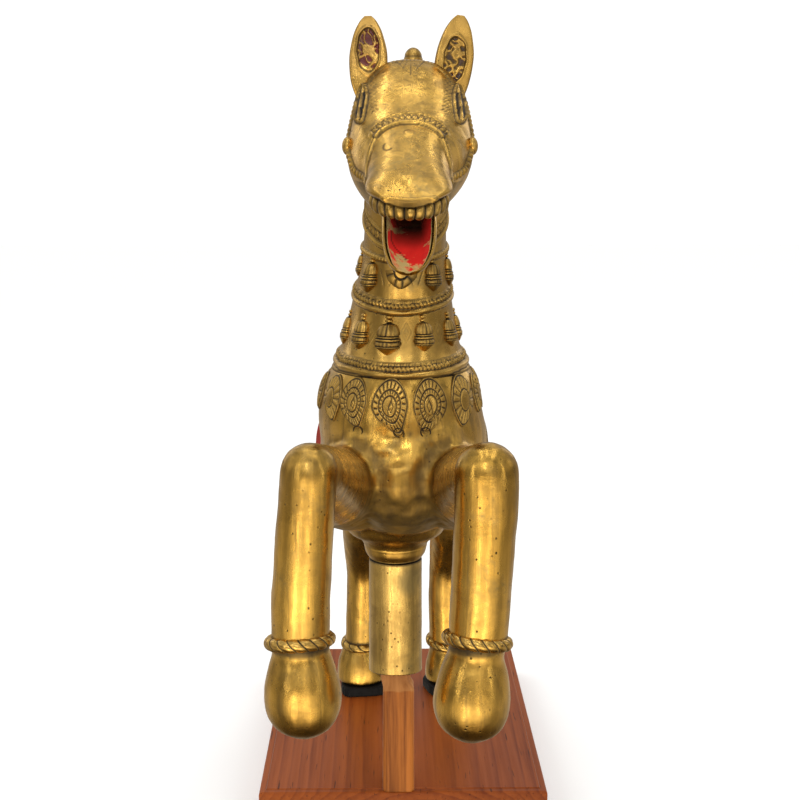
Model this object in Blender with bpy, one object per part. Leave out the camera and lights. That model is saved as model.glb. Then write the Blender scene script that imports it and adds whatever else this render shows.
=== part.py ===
# A cast brass horse, rearing on a wooden post and board.
# Metres, +Z up. The horse faces -Y and its right-hand side in a front view is +X.
# The origin is the centre of the board's underside.
# Points of the horse are given as x, back (behind the board's front edge) and up (above its top).

import math

import bmesh
import bpy
import numpy as np
from mathutils import Matrix, Vector

for leftover in list(bpy.data.objects):
    bpy.data.objects.remove(leftover, do_unlink=True)

# The figure's pose, proportions and carving are shares of its height above the board
HORSE_HEIGHT = 0.788
FIGURE = HORSE_HEIGHT / 0.788

# Driving sizes of the stand
GAP = 0.0003
BOARD_WIDTH = 0.305
BOARD_DEPTH = 0.435
BOARD_THICKNESS = 0.038
LEDGE_WIDTH = 0.007
LEDGE_DROP = 0.0016
NOSE_RADIUS = 0.0025
POST_WIDTH = 0.0335
POST_CHAMFER = 0.0042
POST_X = -0.005
TENON_RADIUS = 0.0156
TENON_SHOWING = 0.0167
BORE_CLEARANCE = 0.0006
TUBE_RADIUS = 0.0272
TUBE_LENGTH = 0.1225
TUBE_X = -0.0080
STUB_UP = 0.2512 * FIGURE
SPIGOT_LENGTH = 0.010
PAD_THICKNESS = 0.0118
PAD_WIDTH = 0.054
PAD_DEPTH = 0.058

BOARD_FRONT = -BOARD_DEPTH / 2
BOARD_TOP = BOARD_THICKNESS
POST_BACK = POST_WIDTH / 2
TUBE_BORE = TENON_RADIUS + BORE_CLEARANCE
TUBE_UP = STUB_UP - TUBE_LENGTH
TENON_FROM = TUBE_UP - TENON_SHOWING

# Driving sizes of the casting's ornament
CORD_RADIUS = 0.0024
BAND_HEIGHT = 0.0072
BAND_RAISED = 0.0024
ANKLET_RADIUS = 0.0054
ANKLET_STRANDS = 18
MEDALLION_HEIGHT = 0.050
MEDALLION_WIDTH = 0.033
MEDALLION_RAISED = 0.0022
LARGE_BELL_LENGTH = 0.033
LARGE_BELL_RADIUS = 0.0108
SMALL_BELL_LENGTH = 0.030
SMALL_BELL_RADIUS = 0.0078
BELL_RELIEF = 0.75
TOOTH_COUNT = 11
TEETH_HALF_WIDTH = 0.0300
EAR_HALF_WIDTH = 0.0186
EAR_HALF_DEPTH = 0.0050
EYE_STATION = 0.325
EYE_ANGLE = 0.87
EYE_HALF_LENGTH = 0.105
EYE_HALF_ANGLE = 0.18
MANE_LOCKS = 9
CLOTH_RAISED = 0.0060

# Places of the ornament, as heights on the neck of the figure as modelled
# Collar: height in front, height at the side, whether a band lies above it, segments round it
COLLARS = (
    (0.4625, 0.4670, True, 36),
    (0.5180, 0.5310, True, 28),
    (0.5660, 0.5760, False, 20),
    (0.5740, 0.6040, True, 24),
)
LARGE_BELL_UP = 0.5155 * FIGURE
LARGE_BELL_ANGLES = (-128, -88, -53, -14, 22, 58, 92, 130)
SMALL_BELL_UP = 0.5735 * FIGURE
SMALL_BELL_DIP = 0.005 * FIGURE
SMALL_BELL_ANGLES = (-88, -48, 38, 78)
MEDALLION_UP = 0.4340 * FIGURE
MEDALLION_ANGLES = (-97, -70, -38, -8, 21, 51, 78, 104)
PENDANT_UP = 0.5490 * FIGURE
CREST_UP = 0.735 * FIGURE
CREST_LENGTH = 0.270 * FIGURE

# Fineness of the fused casting
VOXEL = 0.0030
SMOOTHING = 6
BODY_TRIANGLES = 3000
CASTING_TRIANGLES = 9200


def sized(table):
    """Rows of the figure as modelled, brought to its height."""
    return tuple(tuple(value * FIGURE for value in row) for row in table)


def sized_sides(tables):
    """The same for a left and a right table."""
    return {side: sized(table) for side, table in tables.items()}


# Barrel: back, centre up, half width, half height
BARREL = sized((
    (-0.100, 0.394, 0.0580, 0.0600),
    (-0.080, 0.384, 0.0715, 0.0740),
    (-0.045, 0.377, 0.0800, 0.0830),
    (0.000, 0.3695, 0.0825, 0.0825),
    (0.060, 0.363, 0.0820, 0.0812),
    (0.130, 0.356, 0.0790, 0.078),
    (0.200, 0.350, 0.0780, 0.076),
    (0.260, 0.347, 0.0750, 0.073),
    (0.305, 0.345, 0.0640, 0.062),
))
BARREL_X = -0.001 * FIGURE

# Neck: up, centre back, half width, half depth, x
NECK = sized((
    (0.360, -0.027, 0.0780, 0.086, 0.000),
    (0.385, -0.031, 0.0815, 0.091, 0.000),
    (0.426, -0.0325, 0.0785, 0.0875, -0.0040),
    (0.447, -0.0325, 0.0735, 0.0825, -0.0035),
    (0.460, -0.0315, 0.0670, 0.0775, -0.0030),
    (0.472, -0.0310, 0.0605, 0.0730, -0.0030),
    (0.500, -0.0340, 0.0525, 0.0640, -0.0025),
    (0.530, -0.0390, 0.0465, 0.0570, -0.0015),
    (0.560, -0.0455, 0.0410, 0.0525, 0.000),
    (0.600, -0.0560, 0.0380, 0.0480, 0.001),
    (0.640, -0.0660, 0.0380, 0.0460, 0.003),
    (0.680, -0.0735, 0.0360, 0.0415, 0.004),
))

# Head: top back, top up, bottom back, bottom up, half width, x
HEAD = sized((
    (-0.015, 0.715, -0.020, 0.650, 0.026, 0.0040),
    (-0.032, 0.738, -0.050, 0.630, 0.0420, 0.0055),
    (-0.058, 0.7472, -0.082, 0.612, 0.0510, 0.0056),
    (-0.092, 0.727, -0.108, 0.604, 0.0545, 0.0050),
    (-0.118, 0.7065, -0.125, 0.606, 0.0550, 0.0040),
    (-0.145, 0.689, -0.146, 0.612, 0.0475, 0.0030),
    (-0.170, 0.673, -0.166, 0.618, 0.037, 0.0020),
    (-0.195, 0.6575, -0.188, 0.622, 0.0350, 0.0018),
    (-0.216, 0.6450, -0.208, 0.623, 0.0362, 0.0015),
    (-0.231, 0.6340, -0.226, 0.6215, 0.0310, 0.0015),
    (-0.2390, 0.6270, -0.2375, 0.6210, 0.0205, 0.0015),
))
HEAD_SQUARENESS = 2.6
CHEEK_TAPER = 0.20

# Legs: x, back, up, half width, half depth
UPPER_FORELEG = sized_sides({
    "left": (
        (-0.0500, -0.0200, 0.3370, 0.0360, 0.0460),
        (-0.0570, -0.0750, 0.3475, 0.0340, 0.0410),
        (-0.0647, -0.1600, 0.3705, 0.0295, 0.0338),
        (-0.0715, -0.2355, 0.3955, 0.0256, 0.0275),
        (-0.0763, -0.2874, 0.4115, 0.0233, 0.0239),
        (-0.0784, -0.3110, 0.4184, 0.0227, 0.0230),
    ),
    "right": (
        (0.0500, -0.0200, 0.3370, 0.0360, 0.0460),
        (0.0530, -0.0750, 0.3475, 0.0340, 0.0410),
        (0.0560, -0.1600, 0.3700, 0.0308, 0.0339),
        (0.0586, -0.2355, 0.3950, 0.0279, 0.0276),
        (0.0604, -0.2874, 0.4110, 0.0263, 0.0241),
        (0.0612, -0.3110, 0.4179, 0.0259, 0.0232),
    ),
})
LOWER_FORELEG = sized_sides({
    "left": (
        (-0.0784, -0.3115, 0.4186, 0.0227, 0.0229),
        (-0.0812, -0.3120, 0.3834, 0.0230, 0.0234),
        (-0.0843, -0.3120, 0.3409, 0.0235, 0.0238),
        (-0.0866, -0.3120, 0.2930, 0.0238, 0.0240),
        (-0.0868, -0.3120, 0.2729, 0.0228, 0.0234),
    ),
    "right": (
        (0.0612, -0.3115, 0.4180, 0.0259, 0.0232),
        (0.0607, -0.3120, 0.3834, 0.0255, 0.0236),
        (0.0586, -0.3120, 0.3409, 0.0247, 0.0240),
        (0.0562, -0.3120, 0.2930, 0.0242, 0.0242),
        (0.0549, -0.3120, 0.2729, 0.0228, 0.0234),
    ),
})
FORE_HOOF = sized((
    (0.0000, 0.0221),
    (-0.0106, 0.0255),
    (-0.0255, 0.0303),
    (-0.0398, 0.0315),
    (-0.0531, 0.0289),
    (-0.0627, 0.0228),
    (-0.0685, 0.0138),
))
# Points: x, back, up
FORE_HOOF_TOP = sized_sides({"left": ((-0.0864, -0.3120, 0.2702),), "right": ((0.0533, -0.3120, 0.2665),)})
FORE_HOOF_LEAN = {"left": 0.0020, "right": -0.0040}
FORE_ANKLET = sized_sides({"left": ((-0.0872, -0.3120, 0.2795),), "right": ((0.0550, -0.3120, 0.2795),)})

EAR_BASE = sized_sides({"left": ((-0.0300, -0.056, 0.712),), "right": ((0.0420, -0.056, 0.710),)})
EAR_TIP = sized_sides({"left": ((-0.0322, -0.050, 0.7885),), "right": ((0.0526, -0.050, 0.7892),)})
# Ear: share of its length, share of its width, share of its hollow
EAR_OUTLINE = (
    (0.0, 0.62, 0.0),
    (0.12, 0.82, 0.25),
    (0.24, 0.94, 0.90),
    (0.40, 1.0, 1.0),
    (0.55, 0.96, 0.95),
    (0.68, 0.84, 0.45),
    (0.80, 0.64, 0.0),
    (0.91, 0.38, 0.0),
    (0.98, 0.13, 0.0),
)

HIND_LEG_X = {"left": -0.0455 * FIGURE, "right": 0.0580 * FIGURE}
# Hind leg: outward from the leg's line, back, up from the pad's top, half width, half depth
HIND_LEG = sized((
    (-0.006, 0.268, 0.315, 0.034, 0.052),
    (-0.002, 0.236, 0.262, 0.0290, 0.040),
    (0.000, 0.236, 0.222, 0.0245, 0.031),
    (0.0005, 0.260, 0.182, 0.0230, 0.027),
    (-0.001, 0.275, 0.148, 0.0216, 0.0230),
    (-0.001, 0.281, 0.103, 0.0222, 0.0222),
    (0.0005, 0.285, 0.060, 0.0225, 0.0225),
    (0.0020, 0.287, 0.044, 0.0232, 0.0240),
    (0.0030, 0.287, 0.026, 0.0284, 0.0285),
    (0.0032, 0.287, 0.010, 0.0302, 0.0302),
    (0.0032, 0.287, -0.006, 0.0302, 0.0302),
))
HIND_HOOF_BACK = 0.287 * FIGURE
HIND_ANKLET_UP = 0.0505 * FIGURE

TAIL = sized((
    (0.000, 0.285, 0.378, 0.016, 0.016),
    (0.000, 0.322, 0.386, 0.017, 0.018),
    (0.000, 0.352, 0.366, 0.019, 0.020),
    (0.000, 0.366, 0.320, 0.021, 0.021),
    (0.000, 0.368, 0.255, 0.022, 0.020),
    (0.000, 0.362, 0.185, 0.018, 0.016),
    (0.000, 0.354, 0.125, 0.011, 0.010),
    (0.000, 0.349, 0.092, 0.0045, 0.0045),
))


def place(x, back, up):
    """A point from its x, its distance behind the board's front edge and its height above the board."""
    return Vector((x, BOARD_FRONT + back, BOARD_TOP + up))


def table_at(table, key):
    """The row of a table at a value of its first column, on a smooth curve through its rows."""
    rows = np.array(table, dtype=float)
    keys = rows[:, 0]
    key = min(max(key, keys[0]), keys[-1])
    slopes = np.gradient(rows, keys, axis=0)
    index = int(min(max(np.searchsorted(keys, key) - 1, 0), len(keys) - 2))
    span = keys[index + 1] - keys[index]
    t = (key - keys[index]) / span
    h00 = 2 * t**3 - 3 * t**2 + 1
    h10 = t**3 - 2 * t**2 + t
    h01 = -2 * t**3 + 3 * t**2
    h11 = t**3 - t**2
    return (
        h00 * rows[index]
        + h10 * span * slopes[index]
        + h01 * rows[index + 1]
        + h11 * span * slopes[index + 1]
    )


def smooth_rows(rows, steps):
    """Rows on a Catmull-Rom curve through the given rows, with `steps` between neighbours."""
    rows = np.array(rows, dtype=float)
    padded = np.vstack((2 * rows[0] - rows[1], rows, 2 * rows[-1] - rows[-2]))
    result = []
    for index in range(len(rows) - 1):
        p0, p1, p2, p3 = padded[index:index + 4]
        for step in range(steps):
            t = step / steps
            result.append(
                0.5 * (2 * p1 + (p2 - p0) * t + (2 * p0 - 5 * p1 + 4 * p2 - p3) * t * t
                       + (3 * p1 - p0 - 3 * p2 + p3) * t**3)
            )
    result.append(rows[-1])
    return result


def new_object(name, points, faces):
    """A mesh object from points and faces, with its faces pointing out."""
    mesh = bpy.data.meshes.new(name)
    mesh.from_pydata([tuple(point) for point in points], [], faces)
    work = bmesh.new()
    work.from_mesh(mesh)
    bmesh.ops.recalc_face_normals(work, faces=work.faces)
    bmesh.ops.triangulate(work, faces=work.faces)
    work.to_mesh(mesh)
    work.free()
    item = bpy.data.objects.new(name, mesh)
    bpy.context.collection.objects.link(item)
    return item


def skin(name, rings, ring_closed=False):
    """A closed skin over rings of equal count, capped at both ends unless the rings form a loop."""
    count = len(rings[0])
    points = [point for ring in rings for point in ring]
    faces = []
    turns = len(rings) if ring_closed else len(rings) - 1
    for turn in range(turns):
        low = turn * count
        high = (turn + 1) % len(rings) * count
        for side in range(count):
            nearby = (side + 1) % count
            faces.append((low + side, low + nearby, high + nearby, high + side))
    if not ring_closed:
        faces.append(tuple(range(count)))
        faces.append(tuple(range((len(rings) - 1) * count, len(rings) * count)))
    return new_object(name, points, faces)


def oval(centre, across, along, half_across, half_along, sides, squareness=2.0):
    """A ring of points on a superellipse."""
    ring = []
    for side in range(sides):
        angle = 2 * math.pi * side / sides
        c = math.cos(angle)
        s = math.sin(angle)
        x = math.copysign(abs(c) ** (2 / squareness), c) * half_across
        y = math.copysign(abs(s) ** (2 / squareness), s) * half_along
        ring.append(centre + across * x + along * y)
    return ring


def limb(name, rows, sides=20, steps=4, start_round=1.0, end_round=1.0):
    """A rounded limb whose path lies near the horse's middle plane."""
    rows = smooth_rows(rows, steps)
    centres = [place(row[0], row[1], row[2]) for row in rows]
    rings = []
    for index, row in enumerate(rows):
        before = centres[max(index - 1, 0)]
        after = centres[min(index + 1, len(rows) - 1)]
        tangent = (after - before).normalized()
        across = Vector((1, 0, 0))
        across = (across - tangent * across.dot(tangent)).normalized()
        along = tangent.cross(across)
        if index == 0:
            for share in (0.25, 0.6, 0.88):
                shift = -tangent * row[4] * start_round * math.sqrt(1 - share**2)
                rings.append(oval(centres[0] + shift, across, along, row[3] * share, row[4] * share, sides))
        rings.append(oval(centres[index], across, along, row[3], row[4], sides))
        if index == len(rows) - 1:
            for share in (0.88, 0.6, 0.25):
                shift = tangent * row[4] * end_round * math.sqrt(1 - share**2)
                rings.append(oval(centres[-1] + shift, across, along, row[3] * share, row[4] * share, sides))
    return skin(name, rings)


def lathe(name, profile, origin, axis, sides):
    """A turned solid from (radius, distance along the axis) pairs, closed on the axis at both ends."""
    axis = axis.normalized()
    across = axis.orthogonal().normalized()
    along = axis.cross(across)
    rings = []
    for radius, distance in profile:
        rings.append(oval(origin + axis * distance, across, along, radius, radius, sides))
    return skin(name, rings)


def ball(name, centre, radii, sides=8, levels=4, turn=None):
    """An ellipsoid, turned if a rotation is given."""
    rings = []
    turn = turn or Matrix.Identity(3)
    for level in range(levels + 1):
        angle = math.pi * (0.08 + 0.84 * level / levels) - math.pi / 2
        ring = []
        for side in range(sides):
            around = 2 * math.pi * side / sides
            local = Vector((
                radii[0] * math.cos(angle) * math.cos(around),
                radii[1] * math.cos(angle) * math.sin(around),
                radii[2] * math.sin(angle),
            ))
            ring.append(centre + turn @ local)
        rings.append(ring)
    return skin(name, rings)


def cord(name, path, radius, sides=5, closed=False, flatten=1.0, outward=None):
    """A round or flattened cord along a path of points."""
    rings = []
    count = len(path)
    for index, point in enumerate(path):
        before = path[index - 1] if (closed or index > 0) else path[0]
        after = path[(index + 1) % count] if (closed or index < count - 1) else path[-1]
        tangent = (after - before).normalized()
        normal = outward[index] if outward else Vector((0, 0, 1))
        normal = (normal - tangent * normal.dot(tangent)).normalized()
        across = tangent.cross(normal)
        size = radius[index] if isinstance(radius, (list, tuple)) else radius
        rings.append(oval(point, across, normal, size, size * flatten, sides))
    return skin(name, rings, ring_closed=closed)


def neck_point(up, angle, raised=0.0):
    """A point on the neck and chest; angle 0 is the front and +90 degrees is +X."""
    row = table_at(NECK, up)
    x = row[4] + (row[2] + raised) * math.sin(angle)
    back = row[1] - (row[3] + raised) * math.cos(angle)
    return place(x, back, up)


def barrel_point(back, angle, raised=0.0):
    """A point on the barrel; angle 0 is the top and +90 degrees is +X."""
    row = table_at(BARREL, back)
    x = BARREL_X + (row[2] + raised) * math.sin(angle)
    up = row[1] + (row[3] + raised) * math.cos(angle)
    return place(x, back, up)


HEAD_ROWS = smooth_rows(HEAD, 5)


def head_section(row, angle, raised=0.0):
    """A point round one section of the head; angle 0 is its top line, +90 degrees is +X."""
    top = place(row[5], row[0], row[1])
    bottom = place(row[5], row[2], row[3])
    upward = (top - bottom).normalized()
    half = (top - bottom).length / 2
    s = math.sin(angle)
    c = math.cos(angle)
    width = row[4] * (1 - CHEEK_TAPER * max(0.0, -c))
    across = math.copysign(abs(s) ** (2 / HEAD_SQUARENESS), s) * (width + raised)
    rise = math.copysign(abs(c) ** (2 / HEAD_SQUARENESS), c) * (half + raised)
    return (top + bottom) / 2 + Vector((across, 0, 0)) + upward * rise


def head_point(station, angle, raised=0.0):
    """A point on the head at a station from 0 (poll) to 1 (lip)."""
    place_in = station * (len(HEAD_ROWS) - 1)
    index = int(min(place_in, len(HEAD_ROWS) - 2))
    share = place_in - index
    return head_section(HEAD_ROWS[index] * (1 - share) + HEAD_ROWS[index + 1] * share, angle, raised)


def head_normal(station, angle):
    """The outward direction of the head's surface."""
    forward = head_point(min(station + 0.01, 1.0), angle) - head_point(station - 0.01, angle)
    around = head_point(station, angle + 0.02) - head_point(station, angle - 0.02)
    return forward.cross(around).normalized()


def material(name, colour, roughness, metallic):
    """A plain material with the part's colour."""
    made = bpy.data.materials.new(name)
    made.use_nodes = True
    shader = made.node_tree.nodes["Principled BSDF"]
    shader.inputs["Base Color"].default_value = (*colour, 1)
    shader.inputs["Roughness"].default_value = roughness
    shader.inputs["Metallic"].default_value = metallic
    return made


BRASS = material("brass", (0.52, 0.34, 0.10), 0.35, 1.0)
TUBE_BRASS = material("tube_brass", (0.56, 0.38, 0.13), 0.30, 1.0)
BOARD_WOOD = material("board_wood", (0.25, 0.07, 0.025), 0.35, 0.0)
POST_WOOD = material("post_wood", (0.33, 0.13, 0.04), 0.45, 0.0)
BLACK = material("black", (0.01, 0.01, 0.01), 0.6, 0.0)


def apply_modifiers(item):
    """Replace an object's mesh by what its modifiers make of it."""
    graph = bpy.context.evaluated_depsgraph_get()
    evaluated = item.evaluated_get(graph)
    mesh = bpy.data.meshes.new_from_object(evaluated)
    item.modifiers.clear()
    item.data = mesh


def join(items, name):
    """One object holding the meshes of several, which are removed."""
    joined = bmesh.new()
    for item in items:
        joined.from_mesh(item.data)
    mesh = bpy.data.meshes.new(name)
    joined.to_mesh(mesh)
    joined.free()
    for item in items:
        bpy.data.objects.remove(item, do_unlink=True)
    result = bpy.data.objects.new(name, mesh)
    bpy.context.collection.objects.link(result)
    return result


def boolean(item, cutters, operation):
    """Join to an object, or cut from it, each of a list of closed objects."""
    group = bpy.data.collections.new("operands")
    bpy.context.scene.collection.children.link(group)
    for cutter in cutters:
        group.objects.link(cutter)
        bpy.context.collection.objects.unlink(cutter)
    step = item.modifiers.new("boolean", "BOOLEAN")
    step.operation = operation
    step.operand_type = "COLLECTION"
    step.collection = group
    step.solver = "EXACT"
    apply_modifiers(item)
    for cutter in list(group.objects):
        bpy.data.objects.remove(cutter, do_unlink=True)
    bpy.data.collections.remove(group)


def block(name, low, high):
    """A box between two corners."""
    points = [
        (x, y, z) for z in (low[2], high[2]) for x, y in (
            (low[0], low[1]), (high[0], low[1]), (high[0], high[1]), (low[0], high[1]))
    ]
    faces = [(0, 1, 2, 3), (4, 5, 6, 7), (0, 1, 5, 4), (1, 2, 6, 5), (2, 3, 7, 6), (3, 0, 4, 7)]
    return new_object(name, points, faces)


# Stand: board, post, socket tube and hoof pads

def square_ring(inset, z, half_x, half_y):
    """Four corners of a rectangle inset from the board's outline."""
    x = half_x - inset
    y = half_y - inset
    return [Vector((-x, -y, z)), Vector((x, -y, z)), Vector((x, y, z)), Vector((-x, y, z))]


def make_board():
    """The board, with a rounded nose and a shallow ledge around its raised field."""
    ledge = BOARD_TOP - LEDGE_DROP
    outline = [(0.0015, 0.0), (0.0, 0.0015), (0.0, ledge - NOSE_RADIUS)]
    for step in range(1, 4):
        angle = math.pi / 2 * step / 3
        outline.append((NOSE_RADIUS * (1 - math.cos(angle)), ledge - NOSE_RADIUS * (1 - math.sin(angle))))
    outline.append((LEDGE_WIDTH, ledge))
    outline.append((LEDGE_WIDTH + LEDGE_DROP * 0.5, BOARD_TOP))
    rings = [square_ring(inset, z, BOARD_WIDTH / 2, BOARD_DEPTH / 2) for inset, z in outline]
    board = skin("base_board", rings)
    board.data.materials.append(BOARD_WOOD)


def chamfered_square(width, chamfer, centre):
    """Eight corners of a chamfered square round a centre."""
    half = width / 2
    cut = half - chamfer
    corners = [(-cut, -half), (cut, -half), (half, -cut), (half, cut),
               (cut, half), (-cut, half), (-half, cut), (-half, -cut)]
    return [centre + Vector((x, y, 0)) for x, y in corners]


def make_post():
    """The post, flush with the board's front, whittled to a round tenon that fills the tube."""
    spigot_end = STUB_UP - SPIGOT_LENGTH
    foot = place(POST_X, POST_BACK, -LEDGE_DROP + GAP)
    shoulder = place(POST_X, POST_BACK, TENON_FROM)
    post = skin("post", [
        chamfered_square(POST_WIDTH, POST_CHAMFER, foot),
        chamfered_square(POST_WIDTH * 0.97, POST_CHAMFER, shoulder),
    ])
    tenon = lathe("tenon", [
        (TENON_RADIUS, TENON_FROM - 0.010),
        (TENON_RADIUS, spigot_end - 0.003 - GAP),
        (TENON_RADIUS - 0.003, spigot_end - GAP),
    ], place(TUBE_X, POST_BACK, 0), Vector((0, 0, 1)), 24)
    boolean(post, [tenon], "UNION")
    field_edge = LEDGE_WIDTH - GAP
    field = block("field", place(-BOARD_WIDTH, field_edge, -0.02), place(BOARD_WIDTH, BOARD_DEPTH, GAP))
    boolean(post, [field], "DIFFERENCE")
    post.data.materials.clear()
    post.data.materials.append(POST_WOOD)


def make_tube():
    """The socket tube that hangs from the casting's stub, open below round the post."""
    centre = place(TUBE_X, POST_BACK, 0)
    low = TUBE_UP
    high = STUB_UP - GAP
    sides = 24
    rings = []
    slope = 0.11
    for radius, height, tilt in (
        (TUBE_BORE, high, 0.0),
        (TUBE_RADIUS - 0.0012, high, 0.0),
        (TUBE_RADIUS, high - 0.0015, 0.0),
        (TUBE_RADIUS + 0.0005, low + 0.0012, slope),
        (TUBE_RADIUS - 0.0008, low, slope),
        (TUBE_BORE, low, slope),
    ):
        ring = oval(centre, Vector((1, 0, 0)), Vector((0, 1, 0)), radius, radius, sides)
        rings.append([point + Vector((0, 0, height - (point.y - centre.y) * tilt)) for point in ring])
    tube = skin("socket_tube", rings, ring_closed=True)
    tube.data.materials.append(TUBE_BRASS)


def make_pads():
    """The two black pads under the hind hooves."""
    for side, turn in (("left", 0.06), ("right", 0.30)):
        outward = -1 if side == "left" else 1
        centre = place(HIND_LEG_X[side] + outward * 0.0015, HIND_HOOF_BACK - 0.001, GAP)
        rings = []
        for height, inset in ((0.0, 0.002), (0.002, 0.0), (PAD_THICKNESS - 0.002, 0.0), (PAD_THICKNESS, 0.002)):
            cut = 0.012
            half_x = PAD_WIDTH / 2 - inset
            half_y = PAD_DEPTH / 2 - inset
            corners = [(-half_x + cut, -half_y), (half_x - cut, -half_y), (half_x, -half_y + cut),
                       (half_x, half_y - cut), (half_x - cut, half_y), (-half_x + cut, half_y),
                       (-half_x, half_y - cut), (-half_x, -half_y + cut)]
            spin = Matrix.Rotation(turn, 3, "Z")
            rings.append([centre + spin @ Vector((x, y, 0)) + Vector((0, 0, height)) for x, y in corners])
        pad = skin(f"hoof_pad_{side}", rings)
        pad.data.materials.append(BLACK)


# Casting: the smooth forms that are fused into one body

def body_forms():
    """Barrel, neck, head, legs and tail as overlapping closed forms."""
    forms = []
    barrel_rows = [(BARREL_X, row[0], row[1], row[2], row[3]) for row in BARREL]
    forms.append(limb("barrel", barrel_rows, sides=32, start_round=0.42, end_round=0.55))

    rings = []
    for step in range(45):
        up = NECK[0][0] + (NECK[-1][0] - NECK[0][0]) * step / 44
        row = table_at(NECK, up)
        rings.append(oval(place(row[4], row[1], up), Vector((1, 0, 0)), Vector((0, 1, 0)), row[2], row[3], 32))
    forms.append(skin("neck", rings))

    angles = [2 * math.pi * side / 32 for side in range(32)]
    rings = [[head_section(row, angle) for angle in angles] for row in HEAD_ROWS]
    forms.append(skin("head", rings))

    for side in ("left", "right"):
        outward = -1 if side == "left" else 1
        forms.append(limb("upper foreleg", UPPER_FORELEG[side]))
        forms.append(limb("lower foreleg", LOWER_FORELEG[side]))
        x, back, up = FORE_HOOF_TOP[side][0]
        lean = FORE_HOOF_LEAN[side]
        depth = -FORE_HOOF[-1][0]
        hoof_rows = [(x - lean * row[0] / depth, back, up + row[0], row[1], row[1]) for row in FORE_HOOF]
        forms.append(limb("fore hoof", hoof_rows, start_round=0.2, end_round=0.25))
        hind_rows = [
            (HIND_LEG_X[side] + outward * row[0], row[1], PAD_THICKNESS + row[2], row[3], row[4])
            for row in HIND_LEG
        ]
        forms.append(limb("hind leg", hind_rows, start_round=0.8, end_round=0.1))
        haunch, haunch_radii, shoulder, shoulder_radii = sized((
            (outward * 0.043, 0.268, 0.334), (0.043, 0.066, 0.066),
            (outward * 0.050, -0.050, 0.376), (0.038, 0.056, 0.052),
        ))
        forms.append(ball("haunch", place(*haunch), haunch_radii, 20, 12))
        forms.append(ball("shoulder", place(*shoulder), shoulder_radii, 20, 12))
    forms.append(limb("tail", TAIL))
    crest = []
    for step in range(7):
        point = crest_point(step / 6)
        crest.append((point.x, point.y - BOARD_FRONT, point.z - BOARD_TOP, 0.0095 * FIGURE, 0.0120 * FIGURE))
    forms.append(limb("crest", crest, sides=12))
    return forms


def make_body():
    """The smooth casting: its forms fused, softened at their joins and lightly faceted."""
    body = join(body_forms(), "horse")
    fuse = body.modifiers.new("fuse", "REMESH")
    fuse.mode = "VOXEL"
    fuse.voxel_size = VOXEL
    soften = body.modifiers.new("soften", "SMOOTH")
    soften.factor = 0.5
    soften.iterations = SMOOTHING
    apply_modifiers(body)
    triangles = sum(len(face.vertices) - 2 for face in body.data.polygons)
    thin = body.modifiers.new("thin", "DECIMATE")
    thin.ratio = BODY_TRIANGLES / triangles
    thin.use_collapse_triangulate = True
    apply_modifiers(body)
    return body


# Casting: ornament joined to the body

def make_collar(up_front, up_side, band_above, segments):
    """A cord round the neck, with a notched band above it where asked, as one ring."""
    rings = []
    for step in range(segments):
        angle = 2 * math.pi * step / segments
        height = up_front + (up_side - up_front) * (1 - math.cos(angle))
        section = [(-0.009, -CORD_RADIUS), (0.0006, -CORD_RADIUS), (CORD_RADIUS, 0.0)]
        if band_above:
            notch = BAND_RAISED * (0.95 if step % 2 == 0 else 0.45)
            section += [(0.0006, CORD_RADIUS), (notch, CORD_RADIUS + 0.0012),
                        (notch, CORD_RADIUS + BAND_HEIGHT), (-0.009, CORD_RADIUS + BAND_HEIGHT)]
        else:
            section += [(0.0006, CORD_RADIUS), (-0.009, CORD_RADIUS)]
        rings.append([neck_point(height + rise, angle, lift) for lift, rise in section])
    return [skin("collar", rings, ring_closed=True)]


def make_bell(up, angle, length, radius):
    """A hanging bell in relief: knob, dome, belt and pointed foot."""
    profile = [
        (0.18, 0.0), (0.38, 0.09), (0.27, 0.18), (0.80, 0.44), (0.78, 0.56), (1.0, 0.60), (0.98, 0.76),
        (0.56, 0.86), (0.10, 1.0),
    ]
    across = neck_point(up, angle + 0.02) - neck_point(up, angle - 0.02)
    across.normalize()
    outward = Vector((across.y, -across.x, 0))
    rings = []
    for share, fall in profile:
        centre = neck_point(up - fall * length, angle, 0.0002)
        rings.append(oval(centre, across, outward, radius * share, radius * share * BELL_RELIEF, 7))
    return skin("bell", rings)


def make_medallion(up, angle, width, height, flip):
    """A raised mango-shaped plate on the chest, with a smaller one on it."""
    items = []
    for share, raised, sides in ((1.0, MEDALLION_RAISED, 12), (0.52, MEDALLION_RAISED * 1.7, 8)):
        rings = []
        for lift, inset in ((-0.009, 0.9), (0.0002, 1.0), (raised, 0.9)):
            ring = []
            for side in range(sides):
                turn = 2 * math.pi * side / sides
                across = math.sin(turn) * width / 2 * share * inset
                rise = math.cos(turn) * height / 2 * share * inset
                low = max(0.0, -math.cos(turn))
                across = across * (1 - 0.45 * low) + flip * low**2 * width * 0.22 * share
                row = table_at(NECK, up + rise)
                ring.append(neck_point(up + rise, angle + across / row[2], lift))
            rings.append(ring)
        items.append(skin("medallion", rings))
    return items


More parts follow.
